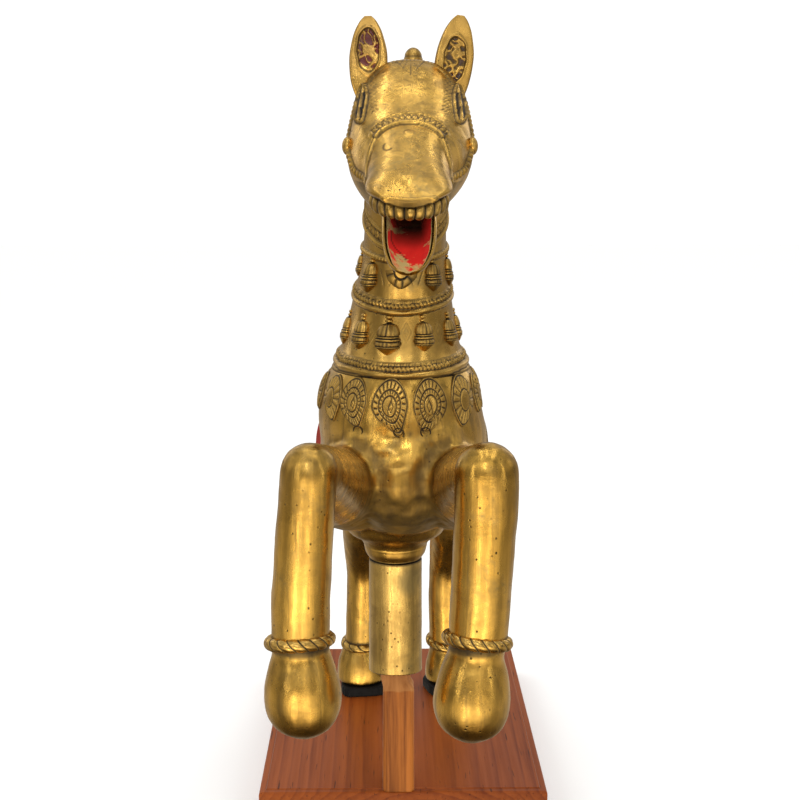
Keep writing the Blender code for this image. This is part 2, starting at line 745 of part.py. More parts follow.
def make_anklet(centre, half_width, tilt_out, tilt_front, strands):
    """A twisted rope ring round a leg, its strands slanting down to +X in front."""
    steps = 2 * strands
    frame = Matrix.Rotation(tilt_out, 3, "Y") @ Matrix.Rotation(tilt_front, 3, "X")
    rings = []
    for step in range(steps):
        size = ANKLET_RADIUS * (1.0 if step % 2 == 0 else 0.74)
        ring = []
        for side in range(5):
            around = 2 * math.pi * (side + 0.5) / 5 - math.pi
            angle = 2 * math.pi * (step - 0.8 * math.sin(around)) / steps
            radial = frame @ Vector((math.cos(angle), math.sin(angle), 0))
            upward = frame @ Vector((0, 0, 1))
            reach = half_width + size * math.cos(around)
            ring.append(centre + radial * reach + upward * size * math.sin(around))
        rings.append(ring)
    return skin("anklet", rings, ring_closed=True)


def make_ear(side):
    """A flat-faced leaf of an ear, hollowed low down in front."""
    base = place(*EAR_BASE[side][0])
    tip = place(*EAR_TIP[side][0])
    axis = tip - base
    turn = -0.10 if side == "left" else 0.10
    across = Matrix.Rotation(turn, 3, "Z") @ Vector((1, 0, 0))
    across = (across - axis.normalized() * across.dot(axis.normalized())).normalized()
    forward = across.cross(axis.normalized()).normalized()
    rings = []
    for share, width, hollow in EAR_OUTLINE:
        centre = base + axis * share
        half = EAR_HALF_WIDTH * width
        deep = EAR_HALF_DEPTH * min(1.0, width + 0.15)
        ring = []
        wall = 0.8 - 1.5 * hollow
        floor = 0.7 - 1.9 * hollow
        for a, b in ((-1.0, 0.0), (-0.88, 0.7), (-0.55, 0.8), (-0.40, wall), (0.0, floor), (0.40, wall),
                     (0.55, 0.8), (0.88, 0.7), (1.0, 0.0), (0.75, -1.1), (0.0, -1.7), (-0.75, -1.1)):
            ring.append(centre + across * half * a + forward * deep * b)
        rings.append(ring)
    return skin("ear", rings)


def make_eye(sign):
    """A raised almond lid round an eyeball, on the side of the head."""
    path = []
    outward = []
    for step in range(12):
        turn = 2 * math.pi * step / 12
        station = EYE_STATION + EYE_HALF_LENGTH * math.cos(turn)
        taper = 1 - 0.35 * max(0.0, math.cos(turn))
        angle = sign * (EYE_ANGLE - 0.06 * math.cos(turn) + EYE_HALF_ANGLE * math.sin(turn) * taper)
        path.append(head_point(station, angle, 0.0008))
        outward.append(head_normal(station, angle))
    lid = cord("eyelid", path, 0.0026, 5, closed=True, outward=outward)
    along = (path[0] - path[6]).normalized()
    normal = head_normal(EYE_STATION, sign * EYE_ANGLE)
    along = (along - normal * along.dot(normal)).normalized()
    turn = Matrix((along, normal.cross(along), normal)).transposed()
    half = (path[0] - path[6]).length / 2
    centre = head_point(EYE_STATION, sign * EYE_ANGLE, -0.0010)
    return [lid, ball("eye", centre, (half * 0.76, 0.0066, 0.0042), 10, 4, turn)]


def head_path(stations, angles, raised, steps):
    """Points over the head between pairs of station and angle."""
    points = []
    outward = []
    rows = smooth_rows([(s, a) for s, a in zip(stations, angles)], steps)
    for station, angle in rows:
        points.append(head_point(station, angle, raised))
        outward.append(head_normal(station, angle))
    return points, outward


def make_head_ornament():
    """Noseband, cheek straps and their knobs, crown band, pendant, nostrils and poll knob."""
    items = []
    points, outward = head_path((0.53, 0.515, 0.495, 0.515, 0.53), (-0.54, -0.30, 0.0, 0.30, 0.54), 0.0, 2)
    items.append(cord("noseband", points, 0.0055, 6, flatten=0.45, outward=outward))
    points, outward = head_path((0.235, 0.215, 0.205, 0.215, 0.235), (-0.62, -0.34, 0.0, 0.34, 0.62), 0.0, 2)
    items.append(cord("crown band", points, 0.0038, 6, flatten=0.5, outward=outward))
    points, outward = head_path((0.225, 0.29), (0.0, 0.0), 0.0, 2)
    items.append(cord("crown pendant", points, [0.0130, 0.0090, 0.0015], 6, flatten=0.22, outward=outward))
    for sign in (-1, 1):
        points, outward = head_path((0.25, 0.33, 0.40), (sign * 1.12, sign * 1.32, sign * 1.40), 0.0, 2)
        items.append(cord("side strap", points, 0.0026, 5, outward=outward))
        points, outward = head_path((0.40, 0.50, 0.62), (sign * 1.40, sign * 1.60, sign * 1.66), 0.0, 2)
        items.append(cord("cheek strap", points, 0.0030, 5, outward=outward))
        points, outward = head_path((0.53, 0.58, 0.64), (sign * 0.54, sign * 0.95, sign * 1.42), 0.0, 2)
        items.append(cord("nose strap", points, 0.0024, 5, outward=outward))
        knob = head_point(0.40, sign * 1.40, 0.001)
        items.append(ball("strap knob", knob, (0.0060, 0.0070, 0.0085), 8, 4))
        points = []
        normal = []
        for step in range(8):
            turn = math.radians(300 * step / 7 + 30)
            station = 0.625 + 0.026 * math.cos(turn)
            angle = sign * (0.40 + 0.17 * math.sin(turn))
            points.append(head_point(station, angle, 0.0002))
            normal.append(head_normal(station, angle))
        items.append(cord("nostril", points, 0.0019, 5, outward=normal))
    knob, radii = sized(((0.0090, -0.034, 0.7475), (0.0088, 0.0100, 0.0105)))
    items.append(ball("poll knob", place(*knob), radii, 10, 5))
    return items


def make_jaw():
    """The lower jaw: a trough with a raised rim, hinged open."""
    rows = smooth_rows(sized((
        (0.0026, -0.128, 0.6140, 0.0240, 0.0150),
        (0.0026, -0.165, 0.6060, 0.0236, 0.0125),
        (0.0022, -0.190, 0.5890, 0.0226, 0.0095),
        (0.0014, -0.210, 0.5745, 0.0180, 0.0075),
        (0.0006, -0.2215, 0.5665, 0.0085, 0.0050),
    )), 2)
    rings = []
    for index, row in enumerate(rows):
        here = place(row[0], row[1], row[2])
        before = rows[max(index - 1, 0)]
        after = rows[min(index + 1, len(rows) - 1)]
        tangent = (place(after[0], after[1], after[2]) - place(before[0], before[1], before[2])).normalized()
        across = Vector((1, 0, 0))
        upward = across.cross(tangent)
        if upward.z < 0:
            upward = -upward
        ring = []
        for a, b in ((-1.0, 0.10), (-0.90, 0.42), (-0.72, 0.34), (-0.42, -0.12), (0.0, -0.28), (0.42, -0.12),
                     (0.72, 0.34), (0.90, 0.42), (1.0, 0.10), (0.84, -0.50), (0.45, -0.92), (0.0, -1.05),
                     (-0.45, -0.92), (-0.84, -0.50)):
            ring.append(here + across * row[3] * a + upward * row[4] * b)
        rings.append(ring)
    return skin("lower jaw", rings)


def make_teeth():
    """The upper row of rounded teeth under the lip, and the gum they stand in."""
    path = []
    sizes = []
    steps = 2 * TOOTH_COUNT
    for step in range(steps + 1):
        angle = (step / steps * 2 - 1) * math.radians(84)
        rise = 0.010 * (1 - math.cos(angle))
        x = 0.0018 + TEETH_HALF_WIDTH * math.sin(angle)
        path.append(place(x * FIGURE, (-0.202 - 0.0270 * math.cos(angle)) * FIGURE, (0.6160 + rise) * FIGURE))
        sizes.append((0.0040 if step % 2 == 1 else 0.0028) * FIGURE)
    teeth = cord("teeth", path, sizes, 6, flatten=1.75)
    gum = []
    for height, inset in ((0.6165, 0.003), (0.6190, 0.0), (0.6300, 0.0)):
        ring = []
        for side in range(16):
            angle = 2 * math.pi * side / 16
            x = 0.0018 + (TEETH_HALF_WIDTH - inset) * math.sin(angle)
            back = -0.202 - (0.0250 - inset if math.cos(angle) > 0 else 0.060) * math.cos(angle)
            ring.append(place(x * FIGURE, back * FIGURE, height * FIGURE))
        gum.append(ring)
    return [teeth, skin("gum", gum)]


def crest_point(share):
    """A point on the crest of the neck, from the poll at 0 to the withers at 1."""
    up = CREST_UP - share * CREST_LENGTH
    row = table_at(NECK, up)
    poll = max(0.0, (up - CREST_UP) / CREST_LENGTH * 3.375 + 1.0)
    return place(row[4], row[1] + row[3] + (0.003 - 0.006 * poll**2) * FIGURE, up)


def make_mane():
    """Overlapping locks down the crest of the neck."""
    items = []
    for index in range(MANE_LOCKS):
        share = 0.04 + 0.93 * index / (MANE_LOCKS - 1)
        turn = Matrix.Rotation(-0.45, 3, "X")
        radii = [radius * FIGURE for radius in (0.0125, 0.0130, 0.0230)]
        items.append(ball("lock", crest_point(share), radii, 6, 3, turn))
    return items


def barrel_pad(name, start, end, half_angle, raised, rows, columns):
    """A closed pad over the barrel's back, raised by a function of the shares along and across."""
    rings = []
    for row in range(rows + 1):
        back = start + (end - start) * row / rows
        along = 2 * row / rows - 1
        turns = [2 * column / columns - 1 for column in range(columns + 1)]
        ring = [barrel_point(back, half_angle * turn, raised(along, turn)) for turn in turns]
        ring += [barrel_point(back, half_angle * turn, -0.012) for turn in reversed(turns)]
        rings.append(ring)
    return skin(name, rings)


def make_saddle():
    """The saddle cloth over the barrel, its dished seat, the girth and the crupper."""
    def seat_height(along, turn):
        return CLOTH_RAISED + 0.003 + 0.017 * abs(along)**2.2 * (1 - turn**2) + 0.004 * (1 - turn**2)

    cloth, seat, girth = sized(((0.030, 0.190), (0.050, 0.170), (0.100, 0.118)))
    items = [
        barrel_pad("saddle cloth", *cloth, math.radians(103), lambda along, turn: CLOTH_RAISED, 5, 12),
        barrel_pad("saddle seat", *seat, math.radians(46), seat_height, 6, 8),
    ]
    rings = []
    for step in range(24):
        angle = 2 * math.pi * step / 24
        rings.append([
            barrel_point(girth[0], angle, -0.010), barrel_point(girth[0], angle, 0.0026),
            barrel_point(girth[1], angle, 0.0026), barrel_point(girth[1], angle, -0.010),
        ])
    items.append(skin("girth", rings, ring_closed=True))
    path = [barrel_point((0.185 + 0.115 * step / 5) * FIGURE, 0.0, 0.0005) for step in range(6)]
    items.append(cord("crupper", path, 0.0052, 6, flatten=0.5, outward=[Vector((0, 0, 1))] * 6))
    return items


def make_stub():
    """The short stub under the belly that the tube hangs from, with its spigot."""
    spigot = TUBE_BORE - GAP
    profile = [
        (spigot, STUB_UP - SPIGOT_LENGTH), (spigot, STUB_UP), (TUBE_RADIUS, STUB_UP),
        (TUBE_RADIUS + 0.0034 * FIGURE, STUB_UP + 0.007 * FIGURE),
        (TUBE_RADIUS + 0.0068 * FIGURE, STUB_UP + 0.0175 * FIGURE),
        (TUBE_RADIUS + 0.0170 * FIGURE, STUB_UP + 0.0260 * FIGURE),
        (TUBE_RADIUS + 0.0200 * FIGURE, STUB_UP + 0.050 * FIGURE),
    ]
    return lathe("stub", profile, place(TUBE_X, POST_BACK, 0), Vector((0, 0, 1)), 24)


def make_horse():
    """The whole casting as one closed solid."""
    body = make_body()
    ground = place(0, 0, PAD_THICKNESS + 2 * GAP).z
    reach = HORSE_HEIGHT / 4
    hooves = place(0, HIND_HOOF_BACK, 0).y
    low = (-reach, hooves - reach / 2, ground - reach / 4)
    below = block("below hooves", low, (reach, hooves + reach, ground))
    boolean(body, [below], "DIFFERENCE")

    items = [make_stub(), make_jaw()]
    for up_front, up_side, band_above, segments in COLLARS:
        items += make_collar(up_front * FIGURE, up_side * FIGURE, band_above, segments)
    for degrees in LARGE_BELL_ANGLES:
        items.append(make_bell(LARGE_BELL_UP, math.radians(degrees), LARGE_BELL_LENGTH, LARGE_BELL_RADIUS))
    for degrees in SMALL_BELL_ANGLES:
        up = SMALL_BELL_UP - SMALL_BELL_DIP * math.cos(math.radians(degrees))
        items.append(make_bell(up, math.radians(degrees), SMALL_BELL_LENGTH, SMALL_BELL_RADIUS))
    pendant = neck_point(PENDANT_UP, math.radians(-4))
    items.append(ball("throat pendant", pendant, (0.0125, 0.0040, 0.0090), 10, 4))
    for degrees in MEDALLION_ANGLES:
        flip = 1 if degrees < 0 else -1
        items += make_medallion(MEDALLION_UP, math.radians(degrees), MEDALLION_WIDTH, MEDALLION_HEIGHT, flip)
    for side in ("left", "right"):
        tilt = -0.07 if side == "left" else 0.12
        items.append(make_anklet(place(*FORE_ANKLET[side][0]), 0.0236 * FIGURE, tilt, -0.16, ANKLET_STRANDS))
        outward = -1 if side == "left" else 1
        hind = place(HIND_LEG_X[side] + outward * 0.001, HIND_HOOF_BACK - 0.001, PAD_THICKNESS + HIND_ANKLET_UP)
        items.append(make_anklet(hind, 0.0222 * FIGURE, tilt, 0.10, ANKLET_STRANDS - 6))
        items.append(make_ear(side))
        items += make_eye(outward)
    items += make_head_ornament()
    items += make_teeth()
    items += make_mane()
    items += make_saddle()
    boolean(body, items, "UNION")

    tidy = bmesh.new()
    tidy.from_mesh(body.data)
    bmesh.ops.triangulate(tidy, faces=tidy.faces)
    tidy.to_mesh(body.data)
    tidy.free()
    thin = body.modifiers.new("thin", "DECIMATE")
    thin.ratio = CASTING_TRIANGLES / len(body.data.polygons)
    apply_modifiers(body)
    body.data.materials.clear()
    body.data.materials.append(BRASS)
    body.data.shade_smooth()
    body.data.set_sharp_from_angle(angle=math.radians(40))


make_board()
make_post()
make_tube()
make_pads()
make_horse()
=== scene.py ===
import math

import bpy
import numpy as np
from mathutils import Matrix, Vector


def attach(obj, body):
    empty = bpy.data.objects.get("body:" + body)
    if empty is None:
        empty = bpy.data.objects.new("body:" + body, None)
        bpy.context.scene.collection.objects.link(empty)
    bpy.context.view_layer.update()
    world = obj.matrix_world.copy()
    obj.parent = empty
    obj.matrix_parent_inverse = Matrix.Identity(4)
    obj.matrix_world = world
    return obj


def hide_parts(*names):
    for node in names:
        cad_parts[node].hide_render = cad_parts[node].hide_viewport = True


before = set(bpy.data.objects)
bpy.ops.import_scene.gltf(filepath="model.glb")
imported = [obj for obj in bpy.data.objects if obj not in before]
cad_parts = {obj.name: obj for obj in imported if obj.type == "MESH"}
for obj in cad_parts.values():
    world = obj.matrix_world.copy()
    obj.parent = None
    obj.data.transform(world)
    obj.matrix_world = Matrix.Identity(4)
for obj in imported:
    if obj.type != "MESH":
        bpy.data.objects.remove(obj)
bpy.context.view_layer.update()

# Sizes shared with the model
GAP = 0.0003
BOARD_DEPTH = 0.435
BOARD_THICKNESS = 0.038
LEDGE_DROP = 0.0016
POST_WIDTH = 0.0335
POST_CHAMFER = 0.0042
POST_X = -0.005
TENON_RADIUS = 0.0156
TENON_FROM = 0.112
TUBE_BORE = 0.0162
TUBE_RADIUS = 0.0272
TUBE_LENGTH = 0.1225
TUBE_X = -0.0080
STUB_UP = 0.2512
TUBE_UP = STUB_UP - TUBE_LENGTH
PAD_THICKNESS = 0.0118
PAD_WIDTH = 0.054
PAD_DEPTH = 0.058
BOARD_FRONT = -BOARD_DEPTH / 2
BOARD_TOP = BOARD_THICKNESS
POST_BACK = POST_WIDTH / 2

ANKLET_RADIUS = 0.0054
ANKLET_STRANDS = 18
MEDALLION_HEIGHT = 0.050
MEDALLION_WIDTH = 0.033
MEDALLION_UP = 0.4340
LARGE_BELL_UP = 0.5160
SMALL_BELL_UP = 0.5735
TOOTH_COUNT = 11
TEETH_HALF_WIDTH = 0.0300
TEETH_X = 0.0018
TEETH_BACK = -0.202
TEETH_UP = 0.6160
EAR_HALF_WIDTH = 0.0176
EAR_HALF_DEPTH = 0.0050
EYE_STATION = 0.325
EYE_ANGLE = 0.87
EYE_HALF_LENGTH = 0.100
EYE_HALF_HEIGHT = 0.190
EYE_SLANT = 0.06
KNOB_STATION = 0.40
KNOB_ANGLE = 1.40

# Barrel: back, centre up, half width, half height
BARREL = (
    (-0.100, 0.394, 0.0580, 0.0600),
    (-0.080, 0.384, 0.0715, 0.0740),
    (-0.045, 0.377, 0.0800, 0.0830),
    (0.000, 0.3695, 0.0825, 0.0825),
    (0.060, 0.363, 0.0820, 0.0812),
    (0.130, 0.356, 0.0790, 0.078),
    (0.200, 0.350, 0.0780, 0.076),
    (0.260, 0.347, 0.0750, 0.073),
    (0.305, 0.345, 0.0640, 0.062),
)
BARREL_X = -0.001

# Neck: up, centre back, half width, half depth, x
NECK = (
    (0.360, -0.027, 0.0780, 0.086, 0.000),
    (0.385, -0.031, 0.0815, 0.091, 0.000),
    (0.426, -0.0325, 0.0785, 0.0875, -0.0040),
    (0.447, -0.0325, 0.0735, 0.0825, -0.0035),
    (0.460, -0.0315, 0.0670, 0.0775, -0.0030),
    (0.472, -0.0310, 0.0605, 0.0730, -0.0030),
    (0.500, -0.0340, 0.0525, 0.0640, -0.0025),
    (0.530, -0.0390, 0.0465, 0.0570, -0.0015),
    (0.560, -0.0455, 0.0410, 0.0525, 0.000),
    (0.600, -0.0560, 0.0380, 0.0480, 0.001),
    (0.640, -0.0660, 0.0380, 0.0460, 0.003),
    (0.680, -0.0735, 0.0360, 0.0415, 0.004),
)

# Head: top back, top up, bottom back, bottom up, half width, x
HEAD = (
    (-0.015, 0.715, -0.020, 0.650, 0.026, 0.0040),
    (-0.032, 0.738, -0.050, 0.630, 0.0420, 0.0055),
    (-0.058, 0.7472, -0.082, 0.612, 0.0510, 0.0056),
    (-0.092, 0.727, -0.108, 0.604, 0.0545, 0.0050),
    (-0.118, 0.7065, -0.125, 0.606, 0.0550, 0.0040),
    (-0.145, 0.689, -0.146, 0.612, 0.0475, 0.0030),
    (-0.170, 0.673, -0.166, 0.618, 0.037, 0.0020),
    (-0.195, 0.6575, -0.188, 0.622, 0.0350, 0.0018),
    (-0.216, 0.6450, -0.208, 0.623, 0.0362, 0.0015),
    (-0.231, 0.6340, -0.226, 0.6215, 0.0310, 0.0015),
    (-0.2390, 0.6270, -0.2375, 0.6210, 0.0205, 0.0015),
)
HEAD_SQUARENESS = 2.6
CHEEK_TAPER = 0.22
RIGHT_CHEEK_TAPER = 0.34

# Legs: x, back, up, half width, half depth
UPPER_FORELEG = {
    "left": (
        (-0.0500, -0.0200, 0.3370, 0.0360, 0.0460),
        (-0.0570, -0.0750, 0.3475, 0.0340, 0.0410),
        (-0.0647, -0.1600, 0.3705, 0.0295, 0.0338),
        (-0.0715, -0.2355, 0.3955, 0.0256, 0.0275),
        (-0.0763, -0.2874, 0.4115, 0.0233, 0.0239),
        (-0.0784, -0.3110, 0.4184, 0.0227, 0.0230),
    ),
    "right": (
        (0.0500, -0.0200, 0.3370, 0.0360, 0.0460),
        (0.0530, -0.0750, 0.3475, 0.0340, 0.0410),
        (0.0560, -0.1600, 0.3700, 0.0308, 0.0339),
        (0.0586, -0.2355, 0.3950, 0.0279, 0.0276),
        (0.0604, -0.2874, 0.4110, 0.0263, 0.0241),
        (0.0612, -0.3110, 0.4179, 0.0259, 0.0232),
    ),
}
LOWER_FORELEG = {
    "left": (
        (-0.0784, -0.3115, 0.4186, 0.0227, 0.0229),
        (-0.0812, -0.3120, 0.3834, 0.0230, 0.0234),
        (-0.0843, -0.3120, 0.3409, 0.0235, 0.0238),
        (-0.0866, -0.3120, 0.2930, 0.0238, 0.0240),
        (-0.0868, -0.3120, 0.2729, 0.0228, 0.0234),
    ),
    "right": (
        (0.0612, -0.3115, 0.4180, 0.0259, 0.0232),
        (0.0607, -0.3120, 0.3834, 0.0255, 0.0236),
        (0.0586, -0.3120, 0.3409, 0.0247, 0.0240),
        (0.0562, -0.3120, 0.2930, 0.0242, 0.0242),
        (0.0549, -0.3120, 0.2729, 0.0228, 0.0234),
    ),
}
FORE_HOOF = (
    (0.0000, 0.0232),
    (-0.0106, 0.0268),
    (-0.0255, 0.0303),
    (-0.0398, 0.0315),
    (-0.0531, 0.0289),
    (-0.0627, 0.0228),
    (-0.0685, 0.0138),
)
FORE_HOOF_TOP = {"left": (-0.0864, -0.3120, 0.2702), "right": (0.0533, -0.3120, 0.2665)}
FORE_HOOF_LEAN = {"left": 0.0020, "right": -0.0040}
FORE_ANKLET = {"left": (-0.0872, -0.3120, 0.2795), "right": (0.0550, -0.3120, 0.2795)}

EAR_BASE = {"left": (-0.0330, -0.056, 0.712), "right": (0.0405, -0.056, 0.710)}
EAR_TIP = {"left": (-0.0335, -0.050, 0.7885), "right": (0.0520, -0.050, 0.7892)}
# Ear: share of its length, share of its width
EAR_OUTLINE = (
    (0.0, 0.62),
    (0.12, 0.82),
    (0.24, 0.94),
    (0.40, 1.0),
    (0.55, 0.98),
    (0.68, 0.88),
    (0.80, 0.72),
    (0.88, 0.55),
    (0.94, 0.38),
    (0.985, 0.18),
)

HIND_LEG_X = {"left": -0.0455, "right": 0.0580}
# Hind leg: outward from the leg's line, back, up from the pad's top, half width, half depth
HIND_LEG = (
    (-0.006, 0.268, 0.315, 0.034, 0.052),
    (-0.002, 0.236, 0.262, 0.0290, 0.040),
    (0.000, 0.236, 0.222, 0.0245, 0.031),
    (0.0005, 0.260, 0.182, 0.0230, 0.027),
    (-0.001, 0.275, 0.148, 0.0216, 0.0230),
    (-0.001, 0.281, 0.103, 0.0222, 0.0222),
    (0.0005, 0.285, 0.060, 0.0225, 0.0225),
    (0.0020, 0.287, 0.044, 0.0232, 0.0240),
    (0.0030, 0.287, 0.026, 0.0284, 0.0285),
    (0.0032, 0.287, 0.010, 0.0302, 0.0302),
    (0.0032, 0.287, 0.0004, 0.0300, 0.0300),
)
HIND_HOOF_BACK = 0.287
HIND_ANKLET_UP = 0.0505

TAIL = (
    (0.000, 0.285, 0.378, 0.016, 0.016),
    (0.000, 0.322, 0.386, 0.017, 0.018),
    (0.000, 0.352, 0.366, 0.019, 0.020),
    (0.000, 0.366, 0.320, 0.021, 0.021),
    (0.000, 0.368, 0.255, 0.022, 0.020),
    (0.000, 0.362, 0.185, 0.018, 0.016),
    (0.000, 0.354, 0.125, 0.011, 0.010),
    (0.000, 0.349, 0.092, 0.0045, 0.0045),
)

BODY_VOXEL = 0.0033
SIDES = {"left": -1, "right": 1}


# Points and curves

def unit(vector):
    vector = np.asarray(vector, dtype=float)
    return vector / np.maximum(np.linalg.norm(vector, axis=-1, keepdims=True), 1e-12)


def place(x, back, up):
    """Points from their x, distance behind the board's front edge and height above the board."""
    x, back, up = np.broadcast_arrays(np.asarray(x, float), np.asarray(back, float), np.asarray(up, float))
    return np.stack((x, BOARD_FRONT + back, BOARD_TOP + up), axis=-1)


def table_at(table, wanted):
    """Rows of a table at values of its first column, on a smooth curve through its rows."""
    rows = np.array(table, dtype=float)
    keys = rows[:, 0]
    slopes = np.gradient(rows, keys, axis=0)
    wanted = np.clip(np.asarray(wanted, dtype=float), keys[0], keys[-1])
    index = np.clip(np.searchsorted(keys, wanted) - 1, 0, len(keys) - 2)
    span = keys[index + 1] - keys[index]
    t = (wanted - keys[index]) / span
    h00 = 2 * t**3 - 3 * t**2 + 1
    h10 = (t**3 - 2 * t**2 + t) * span
    h01 = -2 * t**3 + 3 * t**2
    h11 = (t**3 - t**2) * span
    return (h00[..., None] * rows[index] + h10[..., None] * slopes[index]
            + h01[..., None] * rows[index + 1] + h11[..., None] * slopes[index + 1])


def curve_at(rows, position):
    """Rows on a Catmull-Rom curve at positions counted in rows."""
    rows = np.array(rows, dtype=float)
    padded = np.vstack((2 * rows[0] - rows[1], rows, 2 * rows[-1] - rows[-2]))
    position = np.clip(np.asarray(position, dtype=float), 0, len(rows) - 1)
    index = np.minimum(position.astype(int), len(rows) - 2)
    t = (position - index)[..., None]
    p0, p1, p2, p3 = (padded[index + step] for step in range(4))
    return 0.5 * (2 * p1 + (p2 - p0) * t + (2 * p0 - 5 * p1 + 4 * p2 - p3) * t**2
                  + (3 * p1 - p0 - 3 * p2 + p3) * t**3)


def smooth_rows(rows, steps):
    """Rows on a smooth curve through the given rows, with `steps` between neighbours."""
    return curve_at(rows, np.linspace(0, len(rows) - 1, (len(rows) - 1) * steps + 1))


def closed_curve(points, steps):
    """A smooth closed curve through points."""
    points = np.array(points, dtype=float)
    count = len(points)
    padded = np.vstack((points[-2:], points, points[:3]))
    position = np.arange(count * steps) / steps
    return curve_at(padded, position + 2)


def neck(up, angle, raised=0.0):
    """Points on the neck and chest; angle 0 is the front and +90 degrees is +X."""
    row = table_at(NECK, up)
    x = row[..., 4] + (row[..., 2] + raised) * np.sin(angle)
    back = row[..., 1] - (row[..., 3] + raised) * np.cos(angle)
    return place(x, back, up)


def barrel(back, angle, raised=0.0):
    """Points on the barrel; angle 0 is the top and +90 degrees is +X."""
    row = table_at(BARREL, back)
    x = BARREL_X + (row[..., 2] + raised) * np.sin(angle)
    up = row[..., 1] + (row[..., 3] + raised) * np.cos(angle)
    return place(x, back, up)


def power(value, exponent):
    return np.sign(value) * np.abs(value) ** exponent


def head(station, angle, raised=0.0):
    """Points on the head, from the poll at station 0 to the lip at 1; angle 0 is its top line."""
    station, angle = np.broadcast_arrays(np.asarray(station, float), np.asarray(angle, float))
    row = curve_at(HEAD, station * (len(HEAD) - 1))
    top = place(row[..., 5], row[..., 0], row[..., 1])
    bottom = place(row[..., 5], row[..., 2], row[..., 3])
    upward = unit(top - bottom)
    half = np.linalg.norm(top - bottom, axis=-1) / 2
    s = np.sin(angle)
    c = np.cos(angle)
    taper = np.where(s > 0, RIGHT_CHEEK_TAPER, CHEEK_TAPER)
    width = row[..., 4] * (1 - taper * np.maximum(0.0, -c))
    across = power(s, 2 / HEAD_SQUARENESS) * (width + raised)
    rise = power(c, 2 / HEAD_SQUARENESS) * (half + raised)
    points = (top + bottom) / 2 + upward * rise[..., None]
    points[..., 0] += across
    return points


def lipped(points, station):
    """Head points with the upper lip's corners drawn up."""
    share = soft(station, 0.78, 1.0)
    side = np.clip((points[..., 0] - 0.0015) / 0.035, -1.1, 1.1) ** 2
    points = points.copy()
    points[..., 2] += share * (0.0085 * side - 0.0012)
    return points


def head_normal(station, angle):
    """The outward direction of the head's surface."""
    forward = head(np.minimum(np.asarray(station) + 0.01, 1.0), angle) - head(np.asarray(station) - 0.01, angle)
    around = head(station, np.asarray(angle) + 0.02) - head(station, np.asarray(angle) - 0.02)
    return unit(np.cross(forward, around))


def waves(points, size, seed):
    """A smooth wandering value, mostly between -1 and 1, from a few crossed waves."""
    random = np.random.default_rng(seed)
    total = 0.0
    for _ in range(7):
        direction = unit(random.normal(size=3))
        phase = random.uniform(0, 2 * math.pi)
        pitch = 2 * math.pi / size * random.uniform(0.6, 1.7)
        total = total + np.sin(points @ direction * pitch + phase)
    return total / 4.2


def bump(value, width):
    """A rounded bump: 1 at 0, falling to 0 at the given width."""
    return np.sqrt(np.clip(1 - (value / width) ** 2, 0, 1))


def soft(value, low, high):
    """0 below low, 1 above high and smooth between."""
    t = np.clip((value - low) / (high - low), 0, 1)
    return t * t * (3 - 2 * t)


def groove(value, width):
    """A soft line: 1 at 0, falling to 0 at the given width."""
    return 1 - soft(np.abs(value), width * 0.35, width)


def full_turn(count):
    """Evenly spaced angles round a circle."""
    return np.arange(count) * 2 * math.pi / count


def along_path(points, path):
    """Distance from points to a path, and how far along it the nearest place lies."""
    best = np.full(points.shape[:-1], 1e9)
    along = np.zeros(points.shape[:-1])
    run = 0.0
    for a, b in zip(path[:-1], path[1:]):
        step = b - a
        length = np.linalg.norm(step)
        t = np.clip(((points - a) @ step) / length**2, 0, 1)
        distance = np.linalg.norm(points - (a + t[..., None] * step), axis=-1)
        closer = distance < best
        best[closer] = distance[closer]
        along[closer] = (run + t * length)[closer]
        run += length
    return best, along


def distance_to(points, path):
    """Distance from points to a path."""
    return along_path(points, path)[0]


# Meshes

def grid_normals(points, closed):
    forward = np.gradient(points, axis=0)
    if closed:
        around = np.roll(points, -1, axis=1) - np.roll(points, 1, axis=1)
    else:
        around = np.gradient(points, axis=1)
    return unit(np.cross(forward, around))


def sheet(name, base, relief=None, closed=True, outward=None, caps=(False, False), marks=None):
    """A skin over a grid of points, raised along its normals, with named values at its points."""
    base = np.asarray(base, dtype=float)
    normals = grid_normals(base, closed)
    reference = outward if outward is not None else base - base.mean(axis=1, keepdims=True)
    turned = np.sum(normals * reference) < 0
    if turned:
        normals = -normals
    points = base if relief is None else base + normals * relief[..., None]
    rows, columns = points.shape[:2]
    index = np.arange(rows * columns).reshape(rows, columns)
    if closed:
        nearby = np.roll(index, -1, axis=1)
        quads = np.stack((index[:-1], nearby[:-1], nearby[1:], index[1:]), axis=-1)
    else:
        quads = np.stack((index[:-1, :-1], index[:-1, 1:], index[1:, 1:], index[1:, :-1]), axis=-1)
    quads = quads.reshape(-1, 4)
    if not turned:
        quads = quads[:, ::-1]
    faces = quads.tolist()
    if caps[0]:
        faces.append(index[0].tolist() if not turned else index[0].tolist()[::-1])
    if caps[1]:
        faces.append(index[-1].tolist()[::-1] if not turned else index[-1].tolist())
    mesh = bpy.data.meshes.new(name)
    mesh.from_pydata(points.reshape(-1, 3).tolist(), [], faces)
    mesh.shade_smooth()
    for mark, values in (marks or {}).items():
        layer = mesh.attributes.new(mark, "FLOAT", "POINT")
        layer.data.foreach_set("value", np.clip(values, 0, 1).astype(np.float32).ravel())
    item = bpy.data.objects.new(name, mesh)
    bpy.context.collection.objects.link(item)
    return item


# Widths of the rings that round off a limb's end
END_SHARES = (0.93, 0.8, 0.6, 0.35, 0.12)


def oval(centre, across, along, half_across, half_along, turns):
    return centre + across * np.cos(turns)[:, None] * half_across + along * np.sin(turns)[:, None] * half_along


